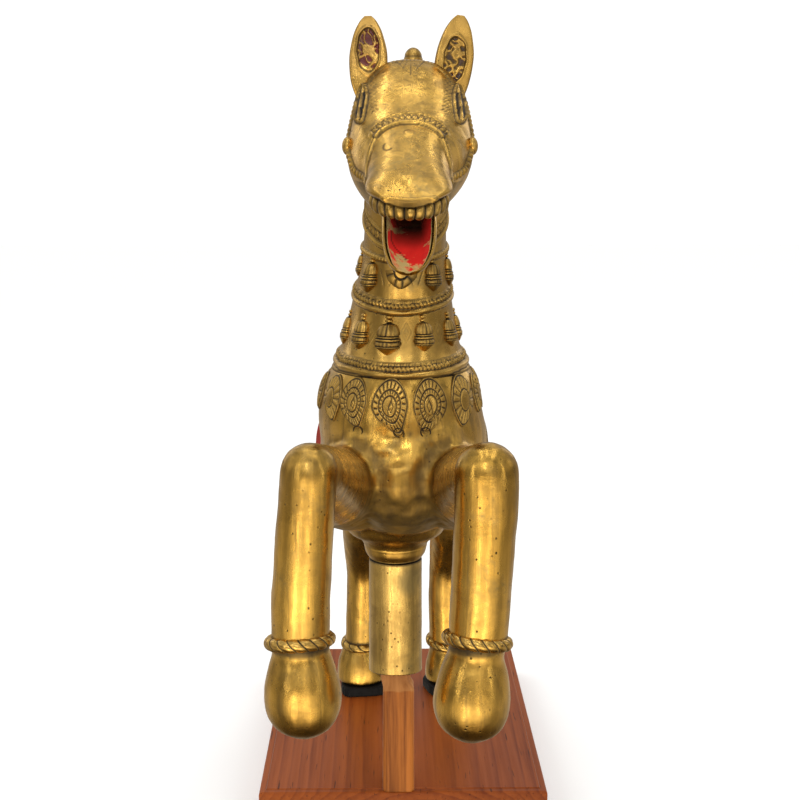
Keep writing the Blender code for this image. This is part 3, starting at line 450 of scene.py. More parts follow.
def limb_rings(rows, sides, steps, start_round=1.0, end_round=1.0):
    """Rings of a rounded limb whose path lies near the horse's middle plane."""
    rows = smooth_rows(rows, steps)
    centres = place(rows[:, 0], rows[:, 1], rows[:, 2])
    turns = full_turn(sides)
    last = len(rows) - 1
    rings = []
    for number, (wide, deep) in enumerate(rows[:, 3:5]):
        tangent = unit(centres[min(number + 1, last)] - centres[max(number - 1, 0)])
        across = np.array([1.0, 0.0, 0.0])
        across = unit(across - tangent * across.dot(tangent))
        along = np.cross(tangent, across)
        if number == 0:
            for share in END_SHARES[::-1]:
                centre = centres[0] - tangent * deep * start_round * math.sqrt(1 - share**2)
                rings.append(oval(centre, across, along, wide * share, deep * share, turns))
        rings.append(oval(centres[number], across, along, wide, deep, turns))
        if number == last:
            for share in END_SHARES:
                centre = centres[last] + tangent * deep * end_round * math.sqrt(1 - share**2)
                rings.append(oval(centre, across, along, wide * share, deep * share, turns))
    return np.array(rings)


def ball_rings(centre, radii, sides, levels, turn=None):
    """Rings of an ellipsoid, turned by a matrix if one is given."""
    turn = np.identity(3) if turn is None else turn
    angle = np.linspace(-0.49 * math.pi, 0.49 * math.pi, levels + 1)[:, None]
    around = full_turn(sides)[None, :]
    local = np.stack((
        radii[0] * np.cos(angle) * np.cos(around),
        radii[1] * np.cos(angle) * np.sin(around),
        radii[2] * np.sin(angle) * np.ones_like(around),
    ), axis=-1)
    return np.asarray(centre, dtype=float) + local @ np.asarray(turn).T


def tube_rings(path, radius, sides, outward, flatten=1.0):
    """Rings round a path, flattened in their outward direction if asked."""
    path = np.asarray(path, dtype=float)
    tangent = unit(np.gradient(path, axis=0))
    outward = np.broadcast_to(outward, path.shape)
    normal = unit(outward - tangent * np.sum(outward * tangent, axis=1, keepdims=True))
    across = np.cross(tangent, normal)
    turns = full_turn(sides)[None, :, None]
    return (path[:, None] + across[:, None] * np.cos(turns) * radius
            + normal[:, None] * np.sin(turns) * radius * flatten)


def loop(rings):
    """A grid of rings whose last row meets its first."""
    return np.concatenate((rings, rings[:1]), axis=0)


def merged(items, name):
    """One object holding the meshes of several."""
    bpy.ops.object.select_all(action="DESELECT")
    for item in items:
        item.select_set(True)
    bpy.context.view_layer.objects.active = items[0]
    bpy.ops.object.join()
    items[0].name = name
    items[0].data.name = name
    return items[0]


def apply_modifiers(item):
    graph = bpy.context.evaluated_depsgraph_get()
    mesh = bpy.data.meshes.new_from_object(item.evaluated_get(graph))
    item.modifiers.clear()
    item.data = mesh


class Relief:
    """Raised height and painted shade over a grid of points."""

    def __init__(self, base, lift):
        self.base = base
        self.lift = lift
        self.dark = np.zeros_like(lift)

    def add(self, height, shade=0.0):
        self.lift = np.maximum(self.lift, height + np.minimum(self.lift, 0.0005) * 0.5)
        self.dark = np.maximum(self.dark, shade)

    def cut(self, depth, line, shade=0.9):
        # a groove, with painted shade along it
        self.lift = self.lift - depth * line
        self.dark = np.maximum(self.dark, line * shade)

    def cord(self, distance, width, height, gap, line, shade):
        """A raised cord with a line of painted shade beside it."""
        self.add(bump(distance, width) * height, groove(distance - gap, line) * shade)


def points_of(item):
    points = np.empty(len(item.data.vertices) * 3)
    item.data.vertices.foreach_get("co", points)
    return points.reshape(-1, 3)


def normals_of(item):
    normals = np.empty(len(item.data.vertices) * 3)
    item.data.vertices.foreach_get("normal", normals)
    return normals.reshape(-1, 3)


def mark(item, name, values):
    layer = item.data.attributes.new(name, "FLOAT", "POINT")
    layer.data.foreach_set("value", np.clip(values, 0, 1).astype(np.float32))


# Materials

class Nodes:
    """A node tree, filled by short calls."""

    def __init__(self, tree):
        self.tree = tree

    def put(self, socket, value):
        if isinstance(value, bpy.types.NodeSocket):
            self.tree.links.new(value, socket)
        else:
            socket.default_value = value

    def ramp(self, value, *stops):
        """Map a value through (position, level or colour) stops."""
        node = self.tree.nodes.new("ShaderNodeValToRGB")
        self.put(node.inputs["Fac"], value)
        elements = node.color_ramp.elements
        while len(elements) < len(stops):
            elements.new(0.5)
        for element, (spot, level) in zip(elements, stops):
            element.position = spot
            colour = (level, level, level) if isinstance(level, (int, float)) else level
            element.color = (*colour, 1)
        return node.outputs["Color"]

    def math(self, operation, first, second=0.0):
        node = self.tree.nodes.new("ShaderNodeMath")
        node.operation = operation
        self.put(node.inputs[0], first)
        self.put(node.inputs[1], second)
        return node.outputs[0]

    def span(self, value, start, end, low=0.0, high=1.0, kind="LINEAR"):
        """Map a value from start..end to low..high, held at both ends."""
        node = self.tree.nodes.new("ShaderNodeMapRange")
        node.interpolation_type = kind
        for socket, number in (("From Min", start), ("From Max", end), ("To Min", low), ("To Max", high)):
            node.inputs[socket].default_value = number
        self.put(node.inputs["Value"], value)
        return node.outputs["Result"]

    def axes(self, vector):
        node = self.tree.nodes.new("ShaderNodeSeparateXYZ")
        self.put(node.inputs[0], vector)
        return node.outputs


class Shader(Nodes):
    """A material's nodes, in the object's own coordinates."""

    def __init__(self, name):
        self.material = bpy.data.materials.new(name)
        self.material.use_nodes = True
        super().__init__(self.material.node_tree)
        self.surface = self.tree.nodes["Principled BSDF"]
        self.position = self.tree.nodes.new("ShaderNodeTexCoord").outputs["Object"]

    def noise(self, scale, detail=4.0, rough=0.55, distortion=0.0, where=None):
        node = self.tree.nodes.new("ShaderNodeTexNoise")
        node.inputs["Scale"].default_value = scale
        node.inputs["Detail"].default_value = detail
        node.inputs["Roughness"].default_value = rough
        node.inputs["Distortion"].default_value = distortion
        self.put(node.inputs["Vector"], where or self.position)
        return node.outputs["Fac"]

    def cells(self, scale):
        node = self.tree.nodes.new("ShaderNodeTexVoronoi")
        node.inputs["Scale"].default_value = scale
        self.put(node.inputs["Vector"], self.position)
        return node.outputs["Distance"]

    def stretched(self, x, y, z, turn=(0, 0, 0)):
        node = self.tree.nodes.new("ShaderNodeMapping")
        node.inputs["Scale"].default_value = (x, y, z)
        node.inputs["Rotation"].default_value = turn
        self.put(node.inputs["Vector"], self.position)
        return node.outputs["Vector"]

    def blend(self, share, first, second):
        node = self.tree.nodes.new("ShaderNodeMix")
        node.data_type = "RGBA"
        self.put(node.inputs["Factor"], share)
        for socket, colour in (("A", first), ("B", second)):
            self.put(node.inputs[socket], (*colour, 1) if isinstance(colour, tuple) else colour)
        return node.outputs["Result"]

    def value(self, name):
        node = self.tree.nodes.new("ShaderNodeAttribute")
        node.attribute_name = name
        return node.outputs["Fac"]

    def near(self, spot, radius):
        """1 within half a radius of a spot, fading to 0 at the radius."""
        node = self.tree.nodes.new("ShaderNodeVectorMath")
        node.operation = "DISTANCE"
        self.put(node.inputs[0], self.position)
        node.inputs[1].default_value = spot
        return self.ramp(self.math("DIVIDE", node.outputs["Value"], radius), (0.5, 1.0), (1.0, 0.0))

    def relief(self, height, strength, distance):
        node = self.tree.nodes.new("ShaderNodeBump")
        node.inputs["Strength"].default_value = strength
        node.inputs["Distance"].default_value = distance
        self.put(node.inputs["Height"], height)
        return node.outputs["Normal"]

    def set(self, **sockets):
        names = {"colour": "Base Color", "roughness": "Roughness", "metallic": "Metallic", "normal": "Normal",
                 "specular": "Specular IOR Level"}
        for short, value in sockets.items():
            self.put(self.surface.inputs[names[short]], value)
        return self.material


def brass_material(name, bright, deep, paint=None, wear=(0.60, 0.67), scratches=0.0, strokes=0.0, patch=None,
                   metal=1.0):
    """Old cast brass: golden where it is rubbed, brown and grey where it isn't, with painted shade in its hollows."""
    make = Shader(name)
    broad = make.noise(7.0, 5.0, 0.6, 0.6)
    middle = make.noise(38.0, 6.0, 0.62, 0.4)
    fine = make.noise(210.0, 4.0, 0.6)
    colour = make.blend(make.ramp(broad, (0.36, 0.0), (0.64, 1.0)), bright, deep)
    colour = make.blend(make.ramp(middle, (0.46, 0.0), (0.70, 0.60)), colour, (0.255, 0.155, 0.045))
    height = make.math("ADD", make.math("MULTIPLY", middle, 0.8), make.math("MULTIPLY", fine, 0.35))
    if strokes:
        feather = make.noise(105.0, 4.0, 0.62, 0.5, make.stretched(1.0, 1.0, 0.075))
        pale = tuple(min(1.0, part * 1.22) for part in bright)
        colour = make.blend(make.ramp(feather, (0.52, 0.0), (0.68, 0.60 * strokes)), colour, pale)
        colour = make.blend(make.ramp(feather, (0.34, 0.55 * strokes), (0.47, 0.0)), colour, (0.24, 0.150, 0.045))
        height = make.math("ADD", height, make.math("MULTIPLY", feather, 0.9 * strokes))
    grey = make.math("MULTIPLY", make.ramp(make.noise(16.0, 7.0, 0.68, 1.2), (0.56, 0.0), (0.70, 0.7)),
                     make.ramp(fine, (0.35, 0.3), (0.65, 1.0)))
    if patch is not None:
        stain = make.math("MULTIPLY", make.near(*patch), make.ramp(middle, (0.36, 0.5), (0.56, 1.0)))
        grey = make.math("MAXIMUM", grey, make.math("MULTIPLY", stain, 0.6))
    colour = make.blend(grey, colour, (0.215, 0.175, 0.080))
    pits = make.ramp(make.cells(150.0), (0.05, 1.0), (0.17, 0.0))
    chosen = make.ramp(make.noise(28.0, 3.0, 0.5), (0.50, 0.0), (0.58, 1.0))
    pits = make.math("MULTIPLY", pits, chosen)
    colour = make.blend(pits, colour, (0.045, 0.026, 0.010))
    # the dark mark is painted shade in grooves, creases, hollows and under parts: rougher, less metallic and near
    # black there
    painted_shade = make.value("dark")
    roughness = make.ramp(middle, (0.30, 0.20), (0.72, 0.36))
    roughness = make.math("ADD", roughness, make.math("MULTIPLY", grey, 0.20))
    roughness = make.math("ADD", roughness, make.math("MULTIPLY", painted_shade, 0.25))
    metallic = make.math("SUBTRACT", 1.0, make.math("MULTIPLY", painted_shade, 0.45))
    height = make.math("SUBTRACT", height, make.math("MULTIPLY", pits, 0.9))
    if scratches:
        lines = make.noise(46.0, 5.0, 0.6, 0.0, make.stretched(1.0, 1.0, 0.16, (0.5, 0.35, 0.2)))
        lines = make.ramp(lines, (0.482, 0.0), (0.50, 1.0), (0.518, 0.0))
        colour = make.blend(make.math("MULTIPLY", lines, 0.55 * scratches), colour, (0.16, 0.10, 0.04))
        height = make.math("SUBTRACT", height, make.math("MULTIPLY", lines, 0.5 * scratches))
    if paint is not None:
        painted = make.value("paint")
        if metal < 1.0:
            bare = make.ramp(painted, (0.02, 0.0), (0.12, 1.0))
            dulled = make.math("MULTIPLY", bare, 1 - metal)
            metallic = make.math("MULTIPLY", metallic, make.math("SUBTRACT", 1.0, dulled))
            colour = make.blend(bare, colour, (0.88, 0.62, 0.23))
        cover = make.math("MULTIPLY", painted, -0.5)
        cover = make.math("ADD", make.math("ADD", make.noise(34.0, 8.0, 0.60, 0.8), 0.5), cover)
        cover = make.ramp(cover, (wear[0], 1.0), (wear[1], 0.0))
        tint = make.blend(make.ramp(middle, (0.3, 0.0), (0.7, 1.0)), paint[0], paint[1])
        colour = make.blend(cover, colour, tint)
        metallic = make.math("MULTIPLY", metallic, make.math("SUBTRACT", 1.0, cover))
        roughness = make.math("ADD", make.math("MULTIPLY", roughness, make.math("SUBTRACT", 1.0, cover)),
                              make.math("MULTIPLY", cover, 0.26))
        height = make.math("ADD", height, make.math("MULTIPLY", cover, 0.6))
    # painted shade: near black where the dark mark is, mottled by the middle noise
    painted_shade_mottled = make.math("MULTIPLY", painted_shade, make.ramp(middle, (0.30, 0.90), (0.60, 1.0)))
    colour = make.blend(painted_shade_mottled, colour, (0.010, 0.006, 0.003))
    normal = make.relief(height, 0.55, 0.0006)
    return make.set(colour=colour, roughness=roughness, metallic=metallic, normal=normal)


GOLD = (0.68, 0.405, 0.084)
DEEP_GOLD = (0.47, 0.268, 0.050)
BRASS = brass_material("brass_casting", GOLD, DEEP_GOLD, strokes=1.0)
BRASS_LIGHT = brass_material("brass_ornament", (0.67, 0.41, 0.100), (0.42, 0.25, 0.056))
BRASS_TUBE = brass_material("brass_tube", (0.68, 0.445, 0.125), (0.50, 0.32, 0.090), scratches=0.35, strokes=0.8,
                            patch=((0.0090, BOARD_FRONT - 0.006, BOARD_TOP + 0.2330), 0.020))
RED_MOUTH = brass_material("brass_mouth", GOLD, DEEP_GOLD,
                           ((0.85, 0.030, 0.022), (0.66, 0.020, 0.016)), metal=0.45)
RED_EAR = brass_material("brass_ear", GOLD, (0.40, 0.24, 0.07), ((0.20, 0.008, 0.003), (0.08, 0.005, 0.002)))
RED_EDGE = brass_material("brass_cloth", GOLD, DEEP_GOLD, ((0.34, 0.035, 0.022), (0.22, 0.022, 0.016)))


def board_material():
    """Sawn wood whose growth rings run round an axis along Y, under a satin varnish."""
    make = Shader("board_wood")
    pale = (0.305, 0.070, 0.010)
    dark = (0.150, 0.028, 0.005)
    heart_x = 0.02
    heart_up = -0.085
    ring_width = 0.0085
    x, _, z = make.axes(make.position)
    across = make.math("SUBTRACT", x, heart_x)
    rise = make.math("SUBTRACT", z, heart_up)
    radius = make.math("SQRT", make.math("ADD", make.math("MULTIPLY", across, across),
                                         make.math("MULTIPLY", rise, rise)))
    warp = make.noise(3.2, 5.0, 0.6, 0.4, make.stretched(1.0, 0.16, 1.0))
    radius = make.math("ADD", radius, make.math("MULTIPLY", warp, 0.030))
    bands = make.math("FRACT", make.math("DIVIDE", radius, ring_width))
    bands = make.ramp(bands, (0.0, 0.15), (0.55, 0.45), (0.88, 1.0), (0.98, 0.25))
    fibre = make.noise(160.0, 4.0, 0.6, 0.0, make.stretched(1.0, 0.03, 1.0))
    pores = make.noise(420.0, 2.0, 0.5, 0.0, make.stretched(1.0, 0.05, 1.0))
    broad = make.noise(9.0, 4.0, 0.6, 0.3, make.stretched(1.0, 0.25, 1.0))
    tone = make.math("ADD", make.math("MULTIPLY", bands, 0.32), make.math("MULTIPLY", fibre, 0.62))
    tone = make.math("ADD", tone, make.math("MULTIPLY", make.math("SUBTRACT", broad, 0.5), 0.7))
    colour = make.blend(make.ramp(tone, (0.22, 0.0), (0.80, 1.0)), pale, dark)
    specks = make.ramp(pores, (0.66, 0.0), (0.72, 0.8))
    colour = make.blend(specks, colour, tuple(part * 0.25 for part in dark))
    height = make.math("SUBTRACT", make.math("MULTIPLY", fibre, 0.5), specks)
    return make.set(colour=colour, roughness=make.ramp(fibre, (0.3, 0.30), (0.7, 0.42)), specular=0.14,
                    normal=make.relief(height, 0.25, 0.0004))


def post_material():
    make = Shader("post_wood")
    fibre = make.noise(150.0, 5.0, 0.6, 0.0, make.stretched(1.0, 1.0, 0.035))
    broad = make.noise(22.0, 4.0, 0.6, 0.5, make.stretched(1.0, 1.0, 0.18))
    tone = make.math("ADD", make.math("MULTIPLY", fibre, 0.6), make.math("MULTIPLY", broad, 0.5))
    colour = make.blend(make.ramp(tone, (0.46, 0.0), (0.66, 1.0)), (0.45, 0.140, 0.022), (0.115, 0.028, 0.006))
    raw = make.blend(make.ramp(tone, (0.40, 0.0), (0.70, 1.0)), (0.50, 0.21, 0.058), (0.25, 0.085, 0.020))
    bare = make.value("raw")
    colour = make.blend(bare, colour, raw)
    # painted shade from the dark mark, which is zero all over the post
    colour = make.blend(make.value("dark"), colour, (0.03, 0.012, 0.006))
    roughness = make.math("ADD", make.ramp(fibre, (0.3, 0.30), (0.7, 0.42)), make.math("MULTIPLY", bare, 0.25))
    return make.set(colour=colour, roughness=roughness, specular=0.14,
                    normal=make.relief(tone, 0.6, 0.0006))


def pad_material():
    make = Shader("pad_black")
    grain = make.noise(260.0, 5.0, 0.65)
    dust = make.ramp(make.noise(34.0, 5.0, 0.6, 0.5), (0.55, 0.0), (0.80, 0.4))
    colour = make.blend(dust, (0.006, 0.0055, 0.0055), (0.030, 0.026, 0.024))
    return make.set(colour=colour, roughness=make.ramp(grain, (0.3, 0.50), (0.7, 0.70)), specular=0.15,
                    normal=make.relief(grain, 0.35, 0.0005))


BOARD_WOOD = board_material()
POST_WOOD = post_material()
PAD_BLACK = pad_material()


def finish_piece(item, material):
    item.data.materials.clear()
    item.data.materials.append(material)
    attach(item, "root")


def brass_piece(item, material=None):
    # an empty painted-shade mark for pieces that have none
    if "dark" not in item.data.attributes:
        item.data.attributes.new("dark", "FLOAT", "POINT")
    finish_piece(item, material or BRASS)


# Stand

def dress_board():
    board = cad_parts["base_board"]
    for slot in board.material_slots:
        slot.material = BOARD_WOOD
    board.visible_glossy = False


def make_post():
    """The chamfered post, its top whittled to the round tenon that enters the tube."""
    turns = full_turn(96)
    c = np.cos(turns)
    s = np.sin(turns)
    facet = 2 * math.pi / 10
    whittled = np.minimum(TENON_RADIUS / np.cos((turns + 0.2) % facet - facet / 2), TENON_RADIUS * 1.02)
    border = TENON_FROM - 0.0045 + 0.0035 * np.cos(turns + math.pi / 2) ** 2 + 0.001 * np.sin(turns * 5)
    ups = np.concatenate((np.linspace(-LEDGE_DROP + GAP, TENON_FROM - 0.006, 60),
                          np.linspace(TENON_FROM - 0.004, TENON_FROM + 0.030, 30)))
    rings = []
    raw = []
    for up in ups:
        taper = 1 - 0.03 * up / TENON_FROM if up < TENON_FROM else 0.97
        size = POST_WIDTH / 2 * taper
        cut = size * 2 - POST_CHAMFER
        square = 1 / np.maximum(np.maximum(np.abs(c), np.abs(s)) / size, (np.abs(c) + np.abs(s)) / cut)
        share = soft(up, TENON_FROM - 0.002, TENON_FROM + 0.010)
        radius = square * (1 - share) + whittled * share
        x = POST_X + (TUBE_X - POST_X) * share
        rings.append(place(x + radius * c, POST_BACK + radius * s, up))
        raw.append(soft(up, border - 0.0006, border + 0.0006))
    rings = np.array(rings)
    outward = unit(rings - rings.mean(axis=1, keepdims=True))
    rings = rings + (waves(rings, 0.030, 5) * 0.00022)[..., None] * outward
    post = sheet("wood_post", rings, caps=(True, True),
                 marks={"raw": np.array(raw), "dark": np.zeros(rings.shape[:2])})
    finish_piece(post, POST_WOOD)
    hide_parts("post")


def make_tube():
    """The socket tube, with a worn lower edge."""
    turns = full_turn(120)
    c = np.cos(turns)
    s = np.sin(turns)
    # radius, up, share of the lower edge's slant
    profile = [
        (TUBE_BORE, STUB_UP - GAP, 0.0),
        (TUBE_RADIUS - 0.0012, STUB_UP - GAP, 0.0),
        (TUBE_RADIUS - 0.0003, STUB_UP - 0.0008, 0.0),
    ]
    for share in np.linspace(0, 1, 80):
        up = STUB_UP - 0.0018 - share * (TUBE_LENGTH - 0.0030)
        profile.append((TUBE_RADIUS + 0.0005 * share, up, share**4))
    for share in np.linspace(0.15, 1, 5):
        profile.append((TUBE_RADIUS + 0.0005 - 0.0013 * share**2, TUBE_UP + 0.0012 * (1 - share), 1.0))
    profile += [
        (TUBE_BORE + 0.003, TUBE_UP - 0.0001, 1.0),
        (TUBE_BORE, TUBE_UP, 1.0),
        (TUBE_BORE, TUBE_UP + 0.03, 0.0),
    ]
    rings = loop(np.array([place(TUBE_X + radius * c, POST_BACK + radius * s, up - 0.11 * tilt * radius * s)
                           for radius, up, tilt in profile]))
    dents = waves(rings, 0.035, 11) * 0.00016 + waves(rings, 0.012, 12) * 0.00006
    inner = np.linalg.norm(rings[..., :2] - place(TUBE_X, POST_BACK, 0)[:2], axis=-1) < TUBE_BORE + 0.001
    up = rings[..., 2] - BOARD_TOP
    # painted shade just under the stub and inside the bore
    dark = np.maximum(soft(up, STUB_UP - 0.0030, STUB_UP - 0.0008), inner * 1.0)
    item = sheet("brass_tube", rings, np.where(inner, 0, dents), outward=rings - place(TUBE_X, POST_BACK, 0.19),
                 marks={"dark": dark})
    finish_piece(item, BRASS_TUBE)
    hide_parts("socket_tube")


def make_pads():
    """The two black pads, square with rounded corners and a slightly ragged edge."""
    turns = full_turn(96)
    c = power(np.cos(turns), 0.42)
    s = power(np.sin(turns), 0.42)
    for side, turn in (("left", 0.06), ("right", 0.30)):
        outward = SIDES[side]
        ragged = 1 - 0.03 * np.sin(turns * 3 + outward) - 0.02 * np.cos(turns * 5) - 0.012 * np.sin(turns * 17)
        rings = []
        for share in np.linspace(0, 1, 14):
            edge = 0.0018 * (1 - math.sqrt(max(0.0, 1 - abs(2 * share - 1) ** 6)))
            x = c * (PAD_WIDTH / 2 - edge) * ragged
            y = s * (PAD_DEPTH / 2 - edge) * ragged
            spun_x = x * math.cos(turn) - y * math.sin(turn)
            spun_y = x * math.sin(turn) + y * math.cos(turn)
            rings.append(place(HIND_LEG_X[side] + outward * 0.0015 + spun_x, HIND_HOOF_BACK - 0.001 + spun_y,
                               GAP + share * PAD_THICKNESS))
        item = sheet(f"hoof_pad_{side}_skin", np.array(rings), caps=(True, True))
        finish_piece(item, PAD_BLACK)
        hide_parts(f"hoof_pad_{side}")


# Body

# Stub: outward of the tube's radius, up from the tube's top
STUB_ROWS = (
    (-0.0008, 0.0003),
    (0.0000, 0.0016),
    (0.0012, 0.0032),
    (0.0034, 0.0068),
    (0.0047, 0.0115),
    (0.0064, 0.0170),
    (0.0108, 0.0225),
    (0.0230, 0.0300),
    (0.0300, 0.0500),
)


def crest(share):
    """Points on the crest of the neck, from the poll at 0 to the withers at 1."""
    up = 0.735 - np.asarray(share, float) * 0.270
    row = table_at(NECK, up)
    poll = np.maximum(0.0, (up - 0.655) / 0.08)
    return place(row[..., 4], row[..., 1] + row[..., 3] + 0.003 - 0.006 * poll**2, up)


def body_forms():
    forms = []
    barrel_rows = [(BARREL_X, row[0], row[1], row[2], row[3]) for row in BARREL]
    forms.append(limb_rings(barrel_rows, 80, 10, 0.42, 0.55))
    ups = np.linspace(NECK[0][0], NECK[-1][0], 120)
    turns = full_turn(80)
    shrink = -0.0022 * soft(ups, 0.450, 0.462)
    forms.append(neck(ups[:, None], turns[None, :], shrink[:, None]))
    stations = np.linspace(0, 0.97, 80)
    forms.append(lipped(head(stations[:, None], turns[None, :], -0.0025), stations[:, None]))
    for side, outward in SIDES.items():
        forms.append(limb_rings(UPPER_FORELEG[side], 56, 12))
        forms.append(limb_rings(LOWER_FORELEG[side], 56, 12))
        x, back, up = FORE_HOOF_TOP[side]
        lean = FORE_HOOF_LEAN[side]
        depth = -FORE_HOOF[-1][0]
        hoof = [(x - lean * row[0] / depth, back, up + row[0], row[1], row[1]) for row in FORE_HOOF]
        forms.append(limb_rings(hoof, 56, 10, 0.2, 0.25))
        hind = [(HIND_LEG_X[side] + outward * row[0], row[1], PAD_THICKNESS + 2 * GAP + row[2], row[3], row[4])
                for row in HIND_LEG]
        forms.append(limb_rings(hind, 56, 10, 0.8, 0.02))
        forms.append(ball_rings(place(outward * 0.043, 0.268, 0.334), (0.043, 0.066, 0.066), 56, 40))
        forms.append(ball_rings(place(outward * 0.044, -0.050, 0.352), (0.037, 0.056, 0.052), 56, 40))
    turns = full_turn(64)
    flare = [row for row in STUB_ROWS if row[1] > 0.006]
    forms.append(np.array([place(TUBE_X + (TUBE_RADIUS + wide - 0.0005) * np.cos(turns),
                                 POST_BACK + (TUBE_RADIUS + wide - 0.0005) * np.sin(turns), STUB_UP + rise)
                           for wide, rise in smooth_rows(flare, 6)]))
    ridge = crest(np.linspace(0, 1, 7))
    rows = [(p[0], p[1] - BOARD_FRONT, p[2] - BOARD_TOP, 0.0085, 0.0110) for p in ridge]
    forms.append(limb_rings(rows, 32, 8))
    return forms


# Dents in the chest: x, up, size, depth
CHEST_DENTS = (
    (-0.006, 0.402, 0.0055, 0.0020),
    (0.004, 0.409, 0.0040, 0.0008),
    (0.012, 0.366, 0.0030, 0.0008),
    (-0.018, 0.352, 0.0035, 0.0007),
)


def fused_body():
    """The forms of the body melted into one skin."""
    items = [sheet("form", rings, caps=(True, True)) for rings in body_forms()]
    skin = merged(items, "horse_body")
    fuse = skin.modifiers.new("fuse", "REMESH")
    fuse.mode = "VOXEL"
    fuse.voxel_size = BODY_VOXEL
    soften = skin.modifiers.new("soften", "SMOOTH")
    soften.factor = 0.5
    soften.iterations = 9
    apply_modifiers(skin)
    skin.data.update()
    return skin


def rough_chest(points, back, up):
    """Rough, dented casting at the front of the chest, as a lift, with painted shade on its lower part and in its
    dents.
    """
    off_middle = np.abs(points[:, 0])
    chest = (back < -0.075) & (back > -0.150) & (off_middle < 0.075)
    rough = chest * soft(up, 0.300, 0.330) * (1 - soft(up, 0.405, 0.425)) * (1 - soft(off_middle, 0.035, 0.06))
    lift = rough * (waves(points, 0.020, 24) * 0.00070 + waves(points, 0.0085, 25) * 0.00034)
    # painted shade, darker towards the bottom of the chest
    dark = chest * (1 - soft(up, 0.325, 0.390)) * (off_middle < 0.07) * 0.62
    for x, dent_up, size, depth in CHEST_DENTS:
        dent = np.exp(-((points[:, 0] - x) ** 2 + (up - dent_up) ** 2 * 0.6) / size**2) * chest
        lift = lift - dent * depth
        # painted shade in each dent
        dark = np.maximum(dark, soft(dent, 0.45, 1.0) * 0.55)
    return lift, dark


def foreleg_crease(points, back, up, side):
    """The crease where a foreleg leaves the chest, as a share used for its groove and its painted shade."""
    leg = np.array(UPPER_FORELEG[side])
    distance = distance_to(points, place(leg[:, 0], leg[:, 1], leg[:, 2]))
    inner = (points[:, 0] - np.interp(back, leg[::-1, 1], leg[::-1, 0])) * -SIDES[side]
    crease = groove(distance - 0.0420, 0.0090) * (inner > 0.012) * (back < -0.088) * (back > -0.165)
    return crease * soft(up, 0.300, 0.325)


def beside_ring(points, back, up, x, ring_back, ring_up):
    """The shadowed join beside an anklet."""
    near = np.hypot(points[:, 0] - x, back - ring_back) < 0.045
    return near * (1 - soft(np.abs(up - ring_up), 0.0050, 0.0072)) * 0.9


def make_body():
    """The smooth casting under all its ornament."""
    body = fused_body()
    points = points_of(body)
    normals = normals_of(body)
    back = points[:, 1] - BOARD_FRONT
    up = points[:, 2] - BOARD_TOP
    tall = points * np.array([1.0, 1.0, 0.10])
    lift = waves(points, 0.045, 21) * 0.00030 + waves(points, 0.016, 22) * 0.00012 + waves(tall, 0.008, 23) * 0.00010
    chest_lift, dark = rough_chest(points, back, up)
    lift = lift + chest_lift
    for side in SIDES:
        crease = foreleg_crease(points, back, up, side)
        # each crease is sunk and given painted shade, and the joins beside the anklets get painted shadow
        lift = lift - crease * 0.0010
        dark = np.maximum(dark, crease * 0.60)
        dark = np.maximum(dark, beside_ring(points, back, up, *FORE_ANKLET[side]))
        dark = np.maximum(dark, beside_ring(points, back, up, HIND_LEG_X[side], HIND_HOOF_BACK,
                                            PAD_THICKNESS + HIND_ANKLET_UP))
    points = points + normals * lift[:, None]
    floor = place(0, 0, PAD_THICKNESS + 2 * GAP)[2]
    points[(points[:, 2] < floor) & (back > 0.2), 2] = floor
    body.data.vertices.foreach_set("co", points.ravel())
    body.data.shade_smooth()
    # the dark mark: painted shade on the chest, in the creases and beside the anklets
    mark(body, "dark", dark)
    brass_piece(body)
    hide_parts("horse")


# Neck and its collars

